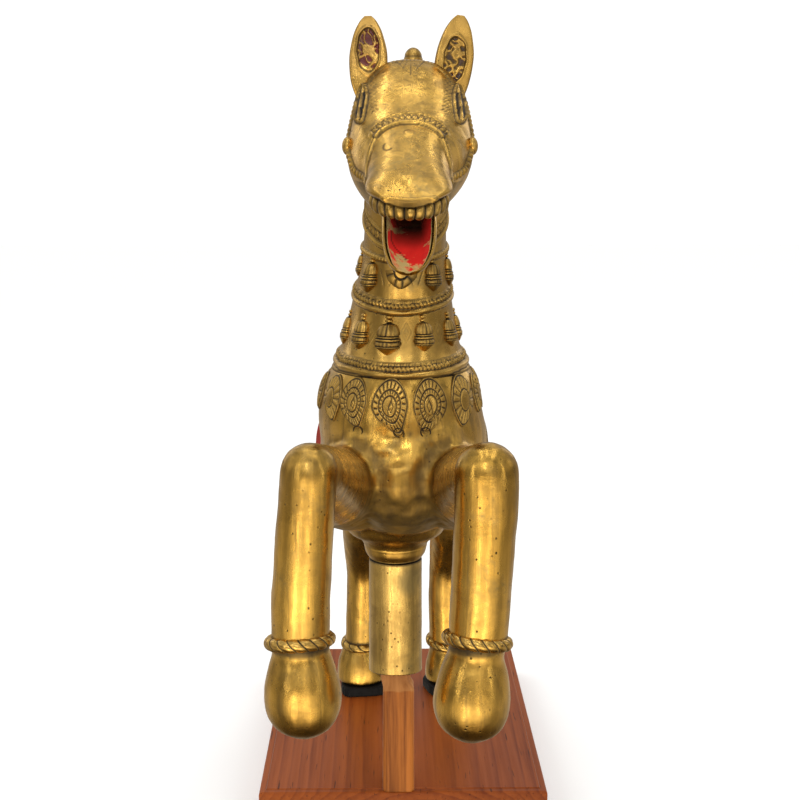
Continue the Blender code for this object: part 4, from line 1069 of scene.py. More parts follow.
def collar_relief(up, angle, radius, up_front, up_side, kind):
    """Raised height and painted shade of one collar; v runs up it and u along it."""
    centre = up_front + (up_side - up_front) * (1 - np.cos(angle))
    v = up - centre
    u = angle * radius
    cord = bump(v, 0.0027) * 0.0030
    lift = cord.copy()
    dark = groove(np.abs(v) - 0.0030, 0.0010)
    if kind == "cord":
        lift = cord * (0.85 + 0.15 * np.cos(u / 0.0034 * 2 * math.pi + v / 0.0022))
        return lift, dark * 0.8
    if kind == "rope":
        w = (v - 0.0056) / 0.0024
        share = (u / 0.0042 + 0.32 * w) % 1.0 - 0.5
        bead = np.sqrt(np.clip(1 - (share / 0.47) ** 2 - w**2, 0, 1))
        hatch = (np.abs(v - 0.0094) < 0.0012) * groove((u / 0.0021) % 1 - 0.5, 0.22)
        lift = np.maximum(lift, (np.abs(w) < 1.15) * 0.0006 + bead * 0.0026)
        lift = np.maximum(lift, bump(v - 0.0094, 0.0016) * 0.0013 - hatch * 0.0005)
        dark = np.maximum.reduce((dark, (np.abs(w) < 1.1) * (1 - soft(bead, 0.12, 0.55)), hatch * 0.8,
                                  groove(v - 0.0112, 0.0008) * 0.6))
        return lift, dark
    base, height, pitch = 0.0036, 0.0086, 0.0060
    middle = base + height / 2
    w = (v - middle) / (height / 2)
    inside = 1 - soft(np.abs(w), 0.88, 1.02)
    plate = 0.0017 * inside
    share = (u / pitch) % 1.0 - 0.5
    lobe = np.abs(share) - 0.42 * np.sqrt(np.clip(1 - w**2, 0, 1))
    vein = groove(share * pitch - 0.0012 * np.sin((w + share) * 9), 0.0006)
    cut = np.clip(soft(lobe, -0.04, 0.04) + 0.7 * vein, 0, 1) * inside
    plate = plate - 0.0012 * cut
    rim_at = base + height + 0.0012
    rim = bump(v - rim_at, 0.0013) * 0.0019
    lift = np.maximum(lift, np.maximum(plate, rim))
    dark = np.maximum(dark * 0.9, cut)
    dark = np.maximum(dark, groove(v - (base - 0.0006), 0.0010) * 0.9)
    dark = np.maximum(dark, groove(v - (rim_at - 0.0014), 0.0007) * 0.9)
    dark = np.maximum(dark, groove(v - (rim_at + 0.0014), 0.0008) * 0.6)
    return lift, dark


COLLARS = (
    (0.4615, 0.4670, "rope"),
    (0.5185, 0.5310, "rope"),
    (0.5660, 0.5760, "cord"),
    (0.5740, 0.6040, "leaf"),
)
# Bells: degrees from the front, length, radius, share of roundness
LARGE_BELLS = (
    (-128, 0.033, 0.0108, 0.5),
    (-80, 0.034, 0.0100, 0.42),
    (-46, 0.034, 0.0104, 0.58),
    (-14, 0.037, 0.0130, 0.66),
    (22, 0.034, 0.0106, 0.66),
    (58, 0.033, 0.0100, 0.55),
    (92, 0.033, 0.0098, 0.42),
    (130, 0.033, 0.0105, 0.5),
)
SMALL_BELLS = (
    (-88, 0.026, 0.0072, 0.48),
    (-48, 0.035, 0.0100, 0.66),
    (38, 0.033, 0.0098, 0.66),
    (78, 0.034, 0.0086, 0.50),
)


def make_neck():
    """The neck's skin with its four collars, engraved diamonds and scored strokes."""
    rows = 196
    columns = 350
    ups = np.linspace(0.4560, 0.6680, rows)[:, None] + np.zeros((1, columns))
    angles = (full_turn(columns) - math.pi)[None, :] + np.zeros((rows, 1))
    base = neck(ups, angles)
    radius = (table_at(NECK, ups)[..., 2] + table_at(NECK, ups)[..., 3]) / 2
    skin = Relief(base, waves(base, 0.040, 31) * 0.00030 + waves(base, 0.013, 32) * 0.00012)
    wobble = waves(base, 0.060, 33) * 0.0007
    for up_front, up_side, kind in COLLARS:
        mean = table_at(NECK, np.array([up_front + 0.004]))[0]
        raised, shade = collar_relief(ups + wobble, angles, (mean[2] + mean[3]) / 2, up_front, up_side, kind)
        skin.lift = np.maximum(skin.lift, raised + skin.lift * 0.4)
        skin.dark = np.maximum(skin.dark, shade)
    for count, degrees in enumerate((-108, -71, -34, 4, 40, 75, 111)):
        across = (angles - math.radians(degrees)) * radius
        above = ups - (0.4985 + 0.0015 * math.cos(count * 2.0))
        diamond = np.abs(across) / 0.0058 + np.abs(above) / 0.0095
        skin.cut(0.0003, np.maximum(groove(diamond - 1, 0.14), groove(diamond - 0.45, 0.16)), 0.35)
    for degrees in (-64, -22, 14, 56, 100, -100):
        across = (angles - math.radians(degrees)) * radius
        above = ups - 0.5510
        stroke = groove(np.abs(across) - 0.0035 - 0.4 * (above + 0.006), 0.0007)
        skin.cut(0.0005, stroke * (1 - soft(np.abs(above), 0.006, 0.009)), 0.8)
    lift = skin.lift - (1 - soft(ups, 0.4560, 0.4590)) * 0.0050
    # painted shade in the collars' and engravings' grooves, and full shade along the lower edge that dips under the
    # lowest collar
    dark = np.maximum(skin.dark, 1 - soft(ups, 0.4585, 0.4600))
    brass_piece(sheet("neck_collars", base, lift, marks={"dark": dark}), BRASS_LIGHT)


def bell_profile():
    """Share of the bell's length against share of its radius, as a dense line."""
    line = [(0.0, 0.02)]
    for middle in (0.055, 0.150):
        for turn in np.linspace(-1, 1, 9):
            line.append((middle + 0.046 * turn, 0.13 + 0.22 * math.sqrt(max(0.0, 1 - turn**2))))
    for turn in np.linspace(0, 1, 14):
        line.append((0.205 + 0.315 * (1 - math.cos(turn * math.pi / 2)), 0.20 + 0.62 * math.sin(turn * math.pi / 2)))
    for middle, size, reach in ((0.548, 0.024, 0.86), (0.612, 0.034, 0.98)):
        for turn in np.linspace(-1, 1, 8):
            line.append((middle + size * turn, reach - 0.10 + 0.12 * math.sqrt(max(0.0, 1 - turn**2))))
    for turn in np.linspace(0, 1, 8):
        line.append((0.652 + 0.115 * turn, 0.93))
    for turn in np.linspace(-1, 1, 6):
        line.append((0.790 + 0.020 * turn, 0.90 + 0.08 * math.sqrt(max(0.0, 1 - turn**2))))
    for turn in np.linspace(0, 1, 10):
        line.append((0.815 + 0.185 * turn, 0.82 * (1 - turn) ** 0.75 + 0.04))
    return np.array(line)


# Lines of painted shade on a bell, as shares of its length
BELL_SHADE_LINES = ((0.090, 0.114), (0.192, 0.226), (0.500, 0.535), (0.566, 0.588), (0.636, 0.664), (0.760, 0.780),
              (0.802, 0.826))


def make_bell(up, angle, length, radius, roundness):
    """One cast bell: beaded loop, ribbed cap, two bands, a row of beads and a pointed drop."""
    sides = 40
    turns = full_turn(sides)
    across = unit(neck(np.array(up), np.array(angle + 0.02)) - neck(np.array(up), np.array(angle - 0.02)))
    outward = np.array([across[1], -across[0], 0.0])
    ribs = np.abs(np.cos(turns * 7))
    rings = []
    dark = []
    for fall, share in bell_profile():
        centre = neck(np.array(up - fall * length), np.array(angle), 0.0004)
        raised = np.zeros(sides)
        # painted shade between the ribs and round the beads
        shade = np.zeros(sides)
        if 0.24 < fall < 0.51:
            raised = 0.10 * ribs
            shade = 1 - ribs**0.5
        if 0.652 <= fall <= 0.768:
            middle = (fall - 0.710) / 0.058
            bead = np.sqrt(np.clip(1 - middle**2 - (((turns * 9 / math.pi) % 1 - 0.5) / 0.42) ** 2, 0, 1))
            raised = 0.13 * bead
            shade = (1 - bead) * 0.8
        if any(low <= fall <= high for low, high in BELL_SHADE_LINES):
            shade = np.ones(sides)
        size = (radius * (share - 0.04 + raised))[:, None]
        rings.append(centre + across * np.cos(turns)[:, None] * size
                     + outward * np.sin(turns)[:, None] * size * roundness * 1.18)
        dark.append(shade)
    rings = np.array(rings)
    return sheet("bell", rings, waves(rings, 0.010, 40) * 0.00010, caps=(True, True), marks={"dark": np.array(dark)})


def make_bells():
    items = [make_bell(LARGE_BELL_UP, math.radians(degrees), length, radius, roundness)
             for degrees, length, radius, roundness in LARGE_BELLS]
    brass_piece(merged(items, "collar_bells_low"), BRASS_LIGHT)
    items = [make_bell(SMALL_BELL_UP - 0.005 * math.cos(math.radians(degrees)), math.radians(degrees), length,
                       radius, roundness)
             for degrees, length, radius, roundness in SMALL_BELLS]
    brass_piece(merged(items, "collar_bells_high"), BRASS_LIGHT)


def make_pendant():
    """The half-round lotus pendant at the throat, with its small tab."""
    rows = 60
    columns = 90
    across = np.linspace(-1, 1, columns)[None, :] + np.zeros((rows, 1))
    fall = np.linspace(0, 1, rows)[:, None] + np.zeros((1, columns))
    half = 0.0132 * np.sqrt(np.clip(1 - fall**2.4, 0, 1)) + 0.0020
    angle = math.radians(-4) + across * half / 0.042
    ups = 0.5575 - 0.0175 * fall
    base = neck(ups, angle, 0.0)
    rho = np.sqrt(across**2 + (fall * 0.9) ** 2)
    turn = np.arctan2(fall, across)
    petals = np.abs(np.sin(turn * 4.5))
    lift = 0.0040 * np.sqrt(np.clip(1 - rho**4, 0, 1))
    ring = groove(rho - 0.42, 0.07)
    cut = (rho > 0.42) * (1 - petals) ** 2
    lift = lift - 0.0010 * np.maximum(ring, cut)
    edge = np.maximum(np.abs(across), fall)
    lift = np.where(edge > 0.985, -0.003, lift)
    lift = np.where(fall < 0.02, -0.003, lift)
    # painted shade in the cut ring and petals, and round the edge
    item = sheet("throat_pendant", base, lift, closed=False, outward=base - place(0, -0.045, 0.55),
                 marks={"dark": np.maximum(ring, cut) + (edge > 0.95) * 0.7})
    brass_piece(item, BRASS_LIGHT)


# Medallions: degrees from the front, lean, share of full size
MEDALLIONS = ((-112, 1, 0.80), (-84, 1, 0.70), (-58, 1, 0.84), (-36, 1, 0.90), (-8, 1, 1.0), (21, -1, 1.0),
              (50, -1, 0.94), (74, -1, 0.72), (100, -1, 0.80))


def medallion_cut(side, y, flip):
    """Engraved lines of a front medallion."""
    rho = np.sqrt(side**2 + y**2)
    turn = np.arctan2(y, side) * 11 / math.pi
    leaf = np.abs(side * 1.6 - 0.12 * flip) + np.abs(y + 0.02)
    lines = (
        (rho > 0.66) * (rho < 0.89) * groove((turn + 0.10 * np.sin(rho * 9)) % 1 - 0.5, 0.21),
        (rho > 0.44) * (rho < 0.57) * groove(turn % 1 - 0.5, 0.24) * 0.9,
        groove(rho - 0.60, 0.050),
        groove(rho - 0.38, 0.050),
        groove(leaf - 0.22, 0.050),
        groove(side - 0.10 * flip * np.sin(y * 6), 0.045) * (np.abs(y) < 0.32) * 0.8,
        groove(y + 0.55 + 0.7 * side * flip, 0.040) * (rho < 0.60) * 0.8,
    )
    return np.maximum.reduce(lines)


def medallion_tail(degrees, flip):
    """The engraved tail that curls back under a front plate."""
    steps = 60
    sides = 8
    turns = np.linspace(-0.25 * math.pi, 1.55 * math.pi, steps)
    size = np.linspace(1.0, 0.72, steps)
    x = flip * (MEDALLION_WIDTH * 0.26 - 0.0010 + 0.0052 * np.cos(turns) * size)
    up = MEDALLION_UP - MEDALLION_HEIGHT * 0.475 + 0.0048 * np.sin(turns) * size
    path = neck(up, math.radians(degrees) + x / table_at(NECK, up)[..., 2], 0.0005)
    outward = unit(path - place(0, -0.03, 0.43))
    # the thin thread is given painted shade all along, to read as an engraved line
    return sheet("curl", tube_rings(path, 0.00065, sides, outward), caps=(True, True),
                 marks={"dark": np.full((steps, sides), 0.95)})


def make_medallions():
    """Mango-shaped plates round the chest: the front ones engraved, the side ones ribbed."""
    items = []
    rows = 100
    columns = 66
    y = np.linspace(1.06, -1.12, rows)[:, None] + np.zeros((1, columns))
    q = np.linspace(-1.10, 1.10, columns)[None, :] + np.zeros((rows, 1))
    low = np.maximum(0.0, -y)
    narrowing = (1 - 0.42 * low**1.4) * np.sqrt(np.clip(1.10 - 0.10 * y**2, 0, 2))
    for degrees, flip, share in MEDALLIONS:
        ribbed = abs(degrees) > 45
        engraved = abs(degrees) < 30
        half = MEDALLION_WIDTH * share / 2 * narrowing
        shift = flip * low**2 * MEDALLION_WIDTH * share * 0.24
        side = q * np.sqrt(np.clip(1.16 - y**2 / 1.28, 0.02, 2))
        rho = np.sqrt(side**2 + y**2)
        ups = MEDALLION_UP + (1 - share) * 0.010 + y * MEDALLION_HEIGHT * share / 2
        wide = table_at(NECK, np.full_like(ups, MEDALLION_UP))[..., 2]
        base = neck(ups, math.radians(degrees) + (shift + side * half) / wide)
        inside = 1 - soft(rho, 0.97, 1.03)
        border = groove(rho - 0.940, 0.052)
        if ribbed:
            ribs = np.abs(np.sin(np.arctan2(y, side) * 8)) ** 0.6
            between = (1 - ribs) * (rho > 0.46) * (rho < 0.90)
            lift = inside * 0.0016 + 0.0014 * np.sqrt(np.clip(1 - rho**2, 0, 1)) - 0.0009 * between
            cut = np.maximum.reduce((between, groove(rho - 0.43, 0.05), border))
        else:
            lift = inside * (0.0007 if engraved else 0.0013)
            cut = np.clip(np.maximum(medallion_cut(side, y, flip), border), 0, 1)
        lift = lift - 0.00075 * cut * inside - 0.0035 * soft(rho, 1.02, 1.10)
        # painted shade in the engraving and round each plate's edge
        dark = np.maximum(cut * inside, soft(rho, 0.985, 1.02) * (0.9 if ribbed else 0.5))
        items.append(sheet("medallion", base, lift, closed=False, outward=base - place(0, -0.03, 0.43),
                           marks={"dark": dark}))
        if not ribbed:
            items.append(medallion_tail(degrees, flip))
    brass_piece(merged(items, "chest_medallions"), BRASS_LIGHT)


# Head

def head_line(stations, angles, steps=8, raised=0.0):
    """A path over the head between pairs of station and angle."""
    rows = smooth_rows(np.stack((stations, angles), axis=1), steps)
    return head(rows[:, 0], rows[:, 1], raised)


def even_angles(columns):
    """Angles that space points evenly round a squarish section."""
    fine = np.linspace(-math.pi, math.pi, 4001)
    x = power(np.sin(fine), 2 / HEAD_SQUARENESS)
    y = power(np.cos(fine), 2 / HEAD_SQUARENESS)
    run = np.concatenate(([0.0], np.cumsum(np.hypot(np.diff(x), np.diff(y)))))
    return np.interp(np.arange(columns) / columns * run[-1], run, fine)


def draw_headband(skin):
    """The headband from ear to ear, hatched between two rims."""
    band = head_line((0.262, 0.235, 0.212, 0.202, 0.212, 0.235, 0.262),
                     (-0.80, -0.62, -0.34, 0.0, 0.34, 0.62, 0.80))
    distance, along = along_path(skin.base, band)
    skin.add((1 - soft(distance, 0.0034, 0.0050)) * 0.0008)
    # hatching and outer line, cut and given painted shade
    skin.cut(0.0006, groove((along / 0.0034) % 1 - 0.5, 0.24) * (distance < 0.0026), 0.85)
    skin.cut(0.0004, groove(distance - 0.0038, 0.0008), 0.7)


def draw_fan(skin, stations, angles):
    """The small engraved fan below the headband."""
    fall = (stations - 0.212) / 0.060
    across = skin.base[..., 0] - 0.0052
    half = 0.0125 * np.clip(1 - fall, 0, 1) ** 0.7
    share = np.abs(across) / np.maximum(half, 1e-5)
    inside = (fall > -0.1) * (fall < 1.0) * (np.cos(angles) > 0)
    ray = np.abs(np.sin(np.arctan2(across, (fall + 0.25) * 0.016) * 7))
    # rays and outline, cut and given painted shade
    skin.cut(0.0004, inside * (1 - soft(share, 0.90, 1.0)) * (fall > 0.12) * (1 - soft(ray, 0.12, 0.42)))
    skin.cut(0.0003, inside * groove(share - 1.0, 0.12))


def draw_noseband(skin):
    """The arched noseband: leaf cuts above a smooth cord, and a boss under its arch."""
    stations = np.array((0.545, 0.532, 0.512, 0.500, 0.512, 0.532, 0.545))
    angles = np.array((-0.62, -0.50, -0.26, 0.0, 0.26, 0.50, 0.62))
    # cords with painted shade beside them, and leaf cuts in painted shade
    skin.cord(distance_to(skin.base, head_line(stations, angles)), 0.0024, 0.0030, 0.0027, 0.0010, 0.9)
    distance, along = along_path(skin.base, head_line(stations - 0.026, angles * 1.02))
    leaf = 1 - soft(distance, 0.0044, 0.0051)
    skin.add(leaf * 0.0014)
    skin.cut(0.0010, leaf * groove(np.abs((along / 0.0056) % 1 - 0.5) - 0.5 + distance / 0.011, 0.15), 0.95)
    skin.cord(distance_to(skin.base, head_line(stations - 0.049, angles * 1.04)), 0.0013, 0.0017, 0.0017, 0.0008, 0.8)
    boss = head_line(np.array((0.553, 0.556)), np.array((0.0, 0.001)))
    skin.cord(distance_to(skin.base, boss), 0.0046, 0.0012, 0.0048, 0.0010, 0.35)


def draw_straps(skin, stations, sign):
    """The beaded strap, the roped cheek strap and the doubled nose strap of one side."""
    path = head_line(np.array((0.25, 0.33, 0.40)), sign * np.array((1.12, 1.32, 1.40)))
    distance, along = along_path(skin.base, path)
    beads = np.abs(np.cos(along / 0.0058 * math.pi))
    # painted shade beside each strap and between its beads and twists
    skin.cord(distance, 0.0030, 0.0012 + 0.0020 * beads**0.6, 0.0033, 0.0011, 0.8)
    skin.cut(0.0, (distance < 0.003) * (1 - beads) ** 2, 0.8)
    path = head_line(np.array((0.40, 0.50, 0.62, 0.70)), sign * np.array((1.40, 1.60, 1.66, 1.60)))
    distance, along = along_path(skin.base, path)
    twist = 0.5 + 0.5 * np.cos(along / 0.0062 * 2 * math.pi + distance / 0.0016 * np.sign(stations - 0.5))
    skin.cord(distance, 0.0036, 0.0018 + 0.0016 * twist**0.7, 0.0040, 0.0011, 0.8)
    skin.cut(0.0, (distance < 0.0036) * (1 - twist) ** 3, 0.85)
    path = head_line(np.array((0.53, 0.58, 0.64, 0.70)), sign * np.array((0.54, 0.95, 1.42, 1.56)))
    distance = distance_to(skin.base, path)
    skin.add(bump(distance - 0.0014, 0.0013) * 0.0019, groove(distance - 0.0030, 0.0009) * 0.7)
    skin.cut(0.0, groove(distance, 0.0008), 0.8)


def draw_nostril(skin, sign):
    """The engraved nostril arc with painted shade in it, fainter on the right."""
    turns = np.linspace(math.radians(-45), math.radians(150), 26)
    arc = head(0.615 + 0.020 * np.cos(turns), sign * (0.41 + 0.125 * np.sin(turns)))
    skin.cut(0.0006, groove(distance_to(skin.base, arc), 0.0015), 0.75 if sign < 0 else 0.30)


def draw_eye(skin, stations, angles, sign):
    """An almond eye, sunk inside its lid with painted shade there, with a bar across it and lashes on the inner side.
    """
    turns = np.linspace(0, 2 * math.pi, 60)
    c = np.cos(turns)
    taper = 1 - 0.35 * np.maximum(0, c)
    almond = head(EYE_STATION + EYE_HALF_LENGTH * c,
                  sign * (EYE_ANGLE - EYE_SLANT * c + EYE_HALF_HEIGHT * np.sin(turns) * taper))
    distance = distance_to(skin.base, almond)
    u = (stations - EYE_STATION) / EYE_HALF_LENGTH
    w = (sign * angles - (EYE_ANGLE - EYE_SLANT * u)) / EYE_HALF_HEIGHT
    skin.cord(distance, 0.0013, 0.0032, 0.0018, 0.0012, 0.95)
    skin.cut(0.0026, (u**2 + w**2 < 1.0) * soft(distance, 0.0004, 0.0012), 1.0)
    bar = head(EYE_STATION + np.linspace(-0.075, 0.080, 12), sign * (EYE_ANGLE + np.linspace(-0.055, 0.015, 12)))
    distance = distance_to(skin.base, bar)
    skin.lift = np.maximum(skin.lift, bump(distance, 0.0011) * 0.0030)
    skin.dark = skin.dark * (distance >= 0.0009)
    lashes = (w < -1.22) * (w > -2.05) * (np.abs(u) < 0.92) * groove((u * 5.5 + w * 2.6) % 1 - 0.5, 0.17)
    skin.cut(0.0007, lashes, 0.95)


def make_head():
    """The head's skin with its harness, eyes and engraving, closed at the poll and behind the lip."""
    rows = 240
    columns = 290
    stations = np.linspace(0.0, 1.0, rows)[:, None] + np.zeros((1, columns))
    angles = even_angles(columns)[None, :] + np.zeros((rows, 1))
    base = head(stations, angles)
    skin = Relief(base, waves(base, 0.040, 51) * 0.00035 + waves(base, 0.012, 52) * 0.00010)
    draw_headband(skin)
    draw_fan(skin, stations, angles)
    draw_noseband(skin)
    for sign in (-1, 1):
        draw_straps(skin, stations, sign)
        draw_nostril(skin, sign)
        draw_eye(skin, stations, angles, sign)
    # rim of the upper lip, and painted shade on the underside
    skin.add(soft(stations, 0.965, 0.982) * (np.cos(angles) > -0.35) * 0.0010)
    dark = np.maximum(skin.dark, (np.cos(angles) < -0.2) * soft(stations, 0.35, 0.60) * 0.9)
    # rounded ends
    first = head(np.full(columns, 0.0), angles[0])
    middle = first.mean(axis=0)
    back_cap = [middle + (first - middle) * share + np.array([0.0, 0.012 * math.sqrt(1 - share**2), 0.002])
                for share in (0.02, 0.3, 0.55, 0.75, 0.9)]
    last = lipped(head(np.full(columns, 1.0), angles[0]), np.array(1.0))
    middle = last.mean(axis=0)
    front_cap = [middle + (last - middle) * share + np.array([0.0, -0.0016 * (1 - share), 0.0])
                 for share in (0.85, 0.6, 0.3, 0.05)]
    behind = np.zeros((len(back_cap), columns))
    before = np.zeros((len(front_cap), columns))
    base = np.concatenate((np.array(back_cap), lipped(base, stations), np.array(front_cap)))
    # the cap closing the lip gets half painted shade
    item = sheet("head_skin", base, np.concatenate((behind, skin.lift, before)), caps=(True, True),
                 marks={"dark": np.concatenate((behind, dark, before + 0.5))})
    brass_piece(item)


def make_head_knobs():
    """The fluted strap knobs and the knob on the poll."""
    items = []
    for sign in (-1, 1):
        rings = ball_rings(head(np.array(KNOB_STATION), np.array(sign * KNOB_ANGLE), 0.001),
                           (0.0046, 0.0062, 0.0076), 32, 24)
        flutes = np.abs(np.sin(full_turn(32) * 5))[None, :] + np.zeros((25, 1))
        # painted shade between the flutes
        items.append(sheet("knob", rings, flutes * 0.0005, caps=(True, True), marks={"dark": (1 - flutes) * 0.5}))
    rings = ball_rings(place(0.0085, -0.034, 0.7485), (0.0090, 0.0100, 0.0120), 40, 30)
    ring = groove(np.linspace(-1, 1, 31)[:, None] + np.zeros((1, 40)) - 0.2, 0.10)
    # painted shade in the ring groove; the poll knob carries the dark mark at a quarter all over
    items.append(sheet("knob", rings, -ring * 0.0005, caps=(True, True),
                       marks={"dark": np.maximum(ring * 0.8, 0.25)}))
    brass_piece(merged(items, "head_knobs"), BRASS_LIGHT)


def make_eyes():
    """The dark eyeballs inside the lids, the right one with red paint."""
    for side, sign in SIDES.items():
        middle = np.array(EYE_STATION)
        normal = head_normal(middle, np.array(sign * EYE_ANGLE))
        ends = head(np.array((EYE_STATION + EYE_HALF_LENGTH, EYE_STATION - EYE_HALF_LENGTH)),
                    sign * np.array((EYE_ANGLE - EYE_SLANT, EYE_ANGLE + EYE_SLANT)))
        along = unit(ends[0] - ends[1])
        along = unit(along - normal * along.dot(normal))
        turn = np.stack((along, np.cross(normal, along), normal), axis=1)
        half = np.linalg.norm(ends[0] - ends[1]) / 2 * 0.50
        centre = head(middle, np.array(sign * EYE_ANGLE), -0.0050)
        rings = ball_rings(centre, (half, 0.0050, 0.0028), 40, 24, turn)
        across = ((rings - centre) @ turn)[..., 0] / half
        painted = (1 - soft(np.abs(across), 0.3, 0.8)) * (0.8 if sign > 0 else 0.0)
        # painted shade over the whole eyeball, sunk inside its lid
        item = sheet(f"eye_{side}", rings, caps=(True, True),
                     marks={"dark": np.full_like(across, 0.9), "paint": painted})
        brass_piece(item, RED_EAR)


def ear_section():
    """An ear's outline in section, a dense flat face followed by its round back."""
    columns = 58
    level = 0.72
    face = np.stack((np.linspace(-0.86, 0.86, columns), np.full(columns, level)), axis=1)
    back = closed_curve(((0.86, level), (0.97, 0.45), (1.0, 0.0), (0.75, -1.0), (0.0, -1.6), (-0.75, -1.0),
                         (-1.0, 0.0), (-0.97, 0.45), (-0.86, level), (0.0, level)), 5)[2:40]
    section = np.concatenate((face, back))
    return section, np.arange(len(section)) < columns


def make_ears():
    """Flat-faced ears with a shallow painted almond in each."""
    section, front = ear_section()
    rows = smooth_rows(EAR_OUTLINE, 13)
    level = rows[:, :1]
    width = rows[:, 1:2]
    x = section[None, :, 0] + np.zeros_like(level)
    y = section[None, :, 1] + np.zeros_like(level)
    for side, outward in SIDES.items():
        left = side == "left"
        base = place(*EAR_BASE[side])
        axis = place(*EAR_TIP[side]) - base
        upward = unit(axis)
        across = np.array([math.cos(0.10), math.sin(0.10 * outward), 0.0])
        across = unit(across - upward * across.dot(upward))
        forward = unit(np.cross(across, upward))
        deep = EAR_HALF_DEPTH * np.minimum(1.0, width + 0.20)
        centre = (base + axis * level)[:, None, :]
        points = centre + across * (EAR_HALF_WIDTH * width * x)[..., None] + forward * (deep * y)[..., None]
        almond = np.hypot(x * width / 0.61, (level - (0.58 if left else 0.48)) / 0.265)
        almond = almond + waves(points, 0.020, 64) * 0.05
        hollow = front * (1 - soft(almond, 0.86, 1.02))
        edge = front * groove(almond - 1.04, 0.10)
        net = np.maximum(groove(waves(points, 0.019, 61), 0.38), groove(waves(points, 0.012, 62), 0.26))
        lift = waves(points, 0.02, 63) * 0.00020 - hollow * 0.0026 + hollow * net * 0.0015 + edge * 0.0006
        paint = hollow * (1 - 0.70 * net) * (1.0 if left else 0.72)
        # painted shade in the hollow between the net's strokes, stronger on the right ear, and along the hollow's rim
        dark = np.maximum(hollow * (1 - net) * (0.35 if left else 0.85),
                          front * groove(almond - 0.95, 0.06) * 0.8)
        item = sheet(f"ear_{side}", points, lift, caps=(True, True), outward=points - centre,
                     marks={"dark": dark, "paint": paint})
        brass_piece(item, RED_EAR)


# Lower jaw: x, back, up, half width, half depth
JAW = (
    (0.0026, -0.128, 0.6140, 0.0240, 0.0150),
    (0.0026, -0.165, 0.6060, 0.0236, 0.0125),
    (0.0022, -0.188, 0.5905, 0.0230, 0.0100),
    (0.0018, -0.200, 0.5815, 0.0214, 0.0088),
    (0.0014, -0.2085, 0.5755, 0.0188, 0.0078),
    (0.0010, -0.2155, 0.5706, 0.0154, 0.0064),
    (0.0006, -0.2203, 0.5674, 0.0108, 0.0048),
)


def make_jaw():
    """The hanging lower jaw, hollow and painted inside."""
    rows = smooth_rows(JAW, 14)
    outline = closed_curve(((-1.0, 0.14), (-0.93, 0.42), (-0.81, 0.36), (-0.52, -0.06), (0.0, -0.24), (0.52, -0.06),
                            (0.81, 0.36), (0.93, 0.42), (1.0, 0.14), (0.86, -0.50), (0.45, -0.92), (0.0, -1.05),
                            (-0.45, -0.92), (-0.86, -0.50)), 8)
    centres = place(rows[:, 0], rows[:, 1], rows[:, 2])
    tangent = unit(np.gradient(centres, axis=0))
    sideways = np.array([1.0, 0.0, 0.0])
    upward = np.cross(sideways, tangent)
    upward = upward * np.sign(upward[:, 2:3])
    rings = [centre + sideways * row[3] * outline[:, :1] + rise * row[4] * outline[:, 1:]
             for centre, row, rise in zip(centres, rows, upward)]
    end = rings[-1]
    middle = end.mean(axis=0)
    for share in (0.8, 0.5, 0.2):
        rings.append(middle + (end - middle) * share + tangent[-1] * 0.0024 * math.sqrt(1 - share**2))
    rings = np.array(rings)
    along = np.linspace(0, 1, len(rings))[:, None]
    across = outline[None, :, 0]
    inner = (np.abs(across) < 0.84) & (outline[None, :, 1] > -0.40)
    worn = 0.30 * soft(along, 0.38, 0.55) + 0.28 * soft(across, 0.05, 0.40) * soft(along, 0.25, 0.42)
    paint = inner * (1 - soft(np.abs(across), 0.78, 0.83)) * (1 - np.clip(worn, 0, 0.24))
    paint = paint * (1 - soft(along, 0.93, 1.0))
    # painted shade deep in the throat and along the engraved line
    throat = inner * (1 - soft(np.abs(across), 0.4, 0.85)) * (1 - soft(along, 0.20, 0.44))
    line = groove(across + 0.66 - 0.55 * soft(along, 0.30, 0.62), 0.035) * (along > 0.25) * (along < 0.62) * inner
    lift = waves(rings, 0.012, 71) * 0.00022 - line * 0.0004
    item = sheet("lower_jaw", rings, lift, caps=(True, True),
                 marks={"dark": np.maximum(throat, line * 0.9), "paint": paint})
    brass_piece(item, RED_MOUTH)


